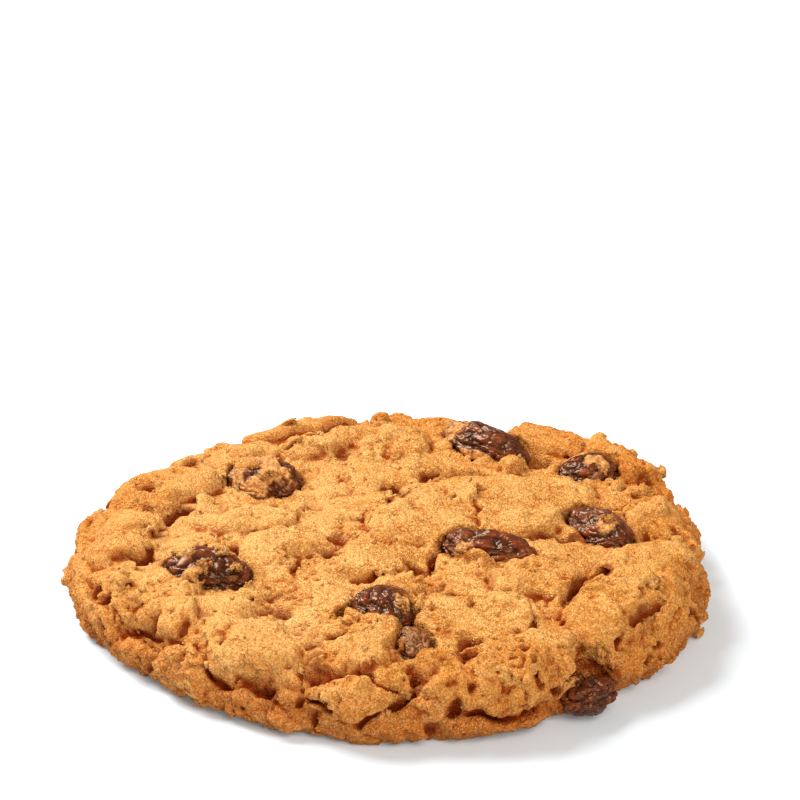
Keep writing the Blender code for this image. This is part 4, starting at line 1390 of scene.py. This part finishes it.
def make_raisin(name, seed, centre, half, turn, tilt, material):
    """A raisin with folded, puckered skin."""
    ball = bmesh.new()
    bmesh.ops.create_icosphere(ball, subdivisions=RAISIN_FINENESS, radius=1.0)
    turned = raisin_turn(turn, tilt)
    axes = Matrix.Diagonal(half)
    folds, films = [], []
    for corner in ball.verts:
        direction = corner.co.normalized()
        inward, fold = raisin_fold(direction, seed, half)
        folds.append(fold)
        facing = Vector([direction[axis] / half[axis] for axis in range(3)]).normalized()
        place = turned @ (axes @ direction - inward * facing)
        film = film_at(name, place.x, place.y) if facing.z > -0.3 else 0.0
        films.append(film)
        place = place + turned @ facing * (FILM_THICK * film)
        corner.co = (place + Vector(centre)) * MM
    mesh = bpy.data.meshes.new(name + "_skin")
    ball.to_mesh(mesh)
    ball.free()
    piece = show(name + "_skin", mesh, material)
    keep_inside(piece)
    # fold drives the painted shade in the skin's folds
    keep_values(piece, "fold", folds)
    keep_values(piece, "film", films)
    return piece


def set_sockets(made, values):
    """Give a node's sockets their values, or link them to what a material works out."""
    for key, value in values.items():
        if isinstance(value, Paint):
            value.tree.links.new(value.socket, made.inputs[key])
        else:
            made.inputs[key].default_value = value


class Paint:
    """A number, colour or vector that a material works out, for use in expressions."""

    def __init__(self, tree, socket):
        self.tree = tree
        self.socket = socket

    def node(self, kind, settings=None, values=None, output=0):
        """Add a node, set it up, and give its output."""
        made = self.tree.nodes.new(kind)
        for key, value in (settings or {}).items():
            setattr(made, key, value)
        set_sockets(made, values or {})
        return Paint(self.tree, made.outputs[output])

    def part(self, axis):
        """One part of a vector: X, Y or Z."""
        return self.node("ShaderNodeSeparateXYZ", {}, {0: self}, axis)

    def math(self, operation, *others):
        """A Math node on numbers."""
        values = {index: value for index, value in enumerate(others)}
        return self.node("ShaderNodeMath", {"operation": operation}, values)

    def __add__(self, other):
        return self.math("ADD", self, other)

    __radd__ = __add__

    def __mul__(self, other):
        return self.math("MULTIPLY", self, other)

    __rmul__ = __mul__

    def __sub__(self, other):
        return self.math("SUBTRACT", self, other)

    def __rsub__(self, other):
        return self.math("SUBTRACT", other, self)

    def ramp(self, low, high):
        """0 at or below low, 1 at or above high."""
        values = {"Value": self, "From Min": low, "From Max": high}
        return self.node("ShaderNodeMapRange", {"interpolation_type": "SMOOTHSTEP"}, values)

    def mix(self, first, second):
        """A colour between two colours, by this number."""
        values = {0: self, 6: first, 7: second}
        return self.node("ShaderNodeMix", {"data_type": "RGBA"}, values, 2)


def linear(red, green, blue):
    """A display colour, each part from 0 to 255, as a linear one."""
    parts = []
    for value in (red, green, blue):
        share = value / 255.0
        parts.append(share / 12.92 if share < 0.04045 else ((share + 0.055) / 1.055) ** 2.4)
    return (*parts, 1.0)


def new_material(name):
    """A material, its shader, and where places on the piece are read from."""
    material = bpy.data.materials.new(name)
    material.use_nodes = True
    tree = material.node_tree
    place = Paint(tree, None).node("ShaderNodeTexCoord", output="Object")
    return material, tree.nodes["Principled BSDF"], place


def grain(place, name):
    """Noise from 0 to 1, as the table of grains gives it."""
    size, detail, roughness, warp = GRAINS[name]
    values = {"Vector": place, "Scale": 1.0 / (size * MM), "Detail": detail}
    values.update({"Roughness": roughness, "Distortion": warp})
    return place.node("ShaderNodeTexNoise", {}, values)


def cells(place, size, output):
    """Little grains side by side, of a size in millimetres."""
    values = {"Vector": place, "Scale": 1.0 / (size * MM)}
    return place.node("ShaderNodeTexVoronoi", {}, values, output)


def hairlines(place):
    """Fine bent cracks in patches, 1 on the line and 0 beside it."""
    scale, detail, far = HAIRLINE_BEND
    values = {"Vector": place, "Scale": scale, "Detail": detail}
    bend = place.node("ShaderNodeTexNoise", {}, values, "Color")
    values = {0: bend, 1: (far, far, far), 2: place}
    moved = place.node("ShaderNodeVectorMath", {"operation": "MULTIPLY_ADD"}, values)
    values = {"Vector": moved, "Scale": 1.0 / (HAIRLINE_PATCH * MM)}
    edges = place.node("ShaderNodeTexVoronoi", {"feature": "DISTANCE_TO_EDGE"}, values)
    return edges.ramp(HAIRLINE_WIDTH, 0.0) * grain(place, "cracked").ramp(*HAIRLINE_AREA)


def stored(place, name):
    """A number stored with the points of a piece."""
    return place.node("ShaderNodeAttribute", {"attribute_name": name}, output="Fac")


def crust_material():
    """Baked oat dough: golden on top and deeper at the edge, with painted shade in the cracks and
    hollows and painted light on the left side.
    """
    material, shader, place = new_material("crust")
    flat = {0: place, 1: (1.0, 1.0, 0.0)}
    flat = place.node("ShaderNodeVectorMath", {"operation": "MULTIPLY"}, flat)
    radius = place.node("ShaderNodeVectorMath", {"operation": "LENGTH"}, {0: flat}, "Value")
    tone, sandy = cells(place, CRUST_CELL, "Color"), grain(place, "sandy")
    measured = {name: stored(place, name) for name in ("broken", "oat", "hollow", "valley", "sunk")}
    measured.update({name: grain(place, name) for name in ("mottle", "toasted", "dots")})
    measured.update({"sandy": sandy, "pale": tone, "dark": tone})
    measured["edge"] = radius + (grain(place, "edge") - 0.5) * EDGE_WAVER
    measured["low"] = place.part("Z") + (grain(place, "low") - 0.5) * LOW_WAVER
    measured["back"] = place.part("Y")
    # The left side is painted paler: painted light from the key lamp on that side
    measured["left"] = place.part("X")
    spots = {name: value.ramp(*SPREADS[name]) for name, value in measured.items()}
    spots["hairlines"] = hairlines(place)
    spots["pale"] = spots["pale"] * (PALE_SHADE[0] - spots["edge"] * PALE_SHADE[1])
    spots["edge"] = spots["edge"] * (EDGE_SHADE[0] + spots["back"] * EDGE_SHADE[1])
    color = spots["mottle"].mix(linear(*TAN), linear(*GOLDEN))
    for name, share, shade in CRUST_SHADES:
        color = (spots[name] * share).mix(color, linear(*shade))
    height = sandy + grain(place, "lumps") - cells(place, CRUST_CELL, "Distance") * 0.8
    height = height - spots["hairlines"] * 0.5
    strength, far = CRUST_BUMP
    values = {"Height": height, "Strength": strength, "Distance": far}
    set_sockets(shader, {
        "Base Color": color,
        "Roughness": CRUST_DULL[0] + grain(place, "dull") * CRUST_DULL[1],
        "Normal": place.node("ShaderNodeBump", {}, values),
        **CRUST_SOCKETS,
    })
    return material


def raisin_material():
    """Dark, sticky raisin skin with glossy wrinkles, painted shade in its folds, dusty in places.
    """
    material, shader, place = new_material("raisin_skin")
    mottled = grain(place, "skin").ramp(*SPREADS["skin"])
    # Folds are darkened: painted shade
    deep = stored(place, "fold").ramp(*SPREADS["fold"])
    dusty = grain(place, "dusty").ramp(*SPREADS["dusty"])
    speckled = grain(place, "speckled").ramp(*SPREADS["speckled"])
    covered = (stored(place, "film") + (speckled - 0.5) * 0.3).ramp(*SPREADS["covered"])
    color = mottled.mix(linear(*RAISIN_DARK), linear(*RAISIN_LIGHT))
    color = deep.mix(color, linear(*RAISIN_FOLD_PAINTED_SHADE))
    color = (dusty * DUST_SHARE).mix(color, linear(*RAISIN_DUST))
    film = speckled.mix(linear(*FILM_DARK), linear(*FILM_LIGHT))
    least, uneven, dust, dough = RAISIN_DULL
    dull = least + grain(place, "skin_dull") * uneven + dusty * dust + covered * dough
    height = grain(place, "wrinkled") + speckled * covered * 0.5
    strength, far = RAISIN_BUMP
    values = {"Height": height, "Strength": strength, "Distance": far}
    set_sockets(shader, {
        "Base Color": (covered * FILM_SHARE).mix(color, film),
        "Roughness": dull,
        "Normal": place.node("ShaderNodeBump", {}, values),
        **RAISIN_SOCKETS,
    })
    return material


def floor_material():
    """A plain white matt floor."""
    material, shader, _ = new_material("floor")
    set_sockets(shader, FLOOR_SOCKETS)
    return material


def make_floor():
    """A wide level floor under the cookie."""
    bpy.ops.mesh.primitive_plane_add(size=FLOOR_SIZE, location=(0.0, 0.0, 0.0))
    floor = bpy.context.object
    floor.name = "floor"
    floor.data.materials.append(floor_material())


def add_area_light(name, place, size, power, color):
    """A square soft light that faces the cookie."""
    lamp = bpy.data.lights.new(name, "AREA")
    lamp.size = size
    lamp.energy = power
    lamp.color = color
    holder = bpy.data.objects.new(name, lamp)
    holder.location = place
    holder.rotation_euler = Vector(place).to_track_quat("Z", "Y").to_euler()
    bpy.context.scene.collection.objects.link(holder)


def light_scene():
    """A strong soft light from the back left, a weaker one in front, a pale surround."""
    for light in LIGHTS:
        add_area_light(*light)
    world = bpy.data.worlds.new("surround")
    world.use_nodes = True
    set_sockets(world.node_tree.nodes["Background"], SURROUND)
    bpy.context.scene.world = world
    bpy.context.scene.view_settings.view_transform = "Standard"


def place_camera():
    """A long lens, 27 degrees above the floor in front of the cookie."""
    lens = bpy.data.cameras.new("camera")
    lens.lens = LENS
    lens.sensor_width = FILM_WIDTH
    lens.clip_end = SIGHT
    camera = bpy.data.objects.new("camera", lens)
    camera.location = [value * MM for value in CAMERA_PLACE]
    camera.rotation_euler = (math.radians(90.0 - CAMERA_DIP), 0.0, 0.0)
    bpy.context.scene.collection.objects.link(camera)
    bpy.context.scene.camera = camera


def dress():
    """Put every modelled piece on the cookie."""
    baked = crust_material()
    crust, dough = make_crust(baked)
    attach(crust, "root")
    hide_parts("cookie")
    for name, count, sizes, rounds, seed in LOOSE_CRUMBS:
        crumbs = scatter_grains(name, crust, dough, count, sizes, rounds, seed, baked)
        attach(crumbs, "root")
    skin = raisin_material()
    raisins = {}
    for seed, (name, centre, half, turn, tilt) in enumerate(RAISINS, start=1):
        raisins[name] = make_raisin(name, seed, centre, half, turn, tilt, skin)
        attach(raisins[name], "root")
        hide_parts(name)
    stuck = stick_crumbs(raisins, dough, baked)
    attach(stuck, "root")


place_camera()
light_scene()
make_floor()
dress()
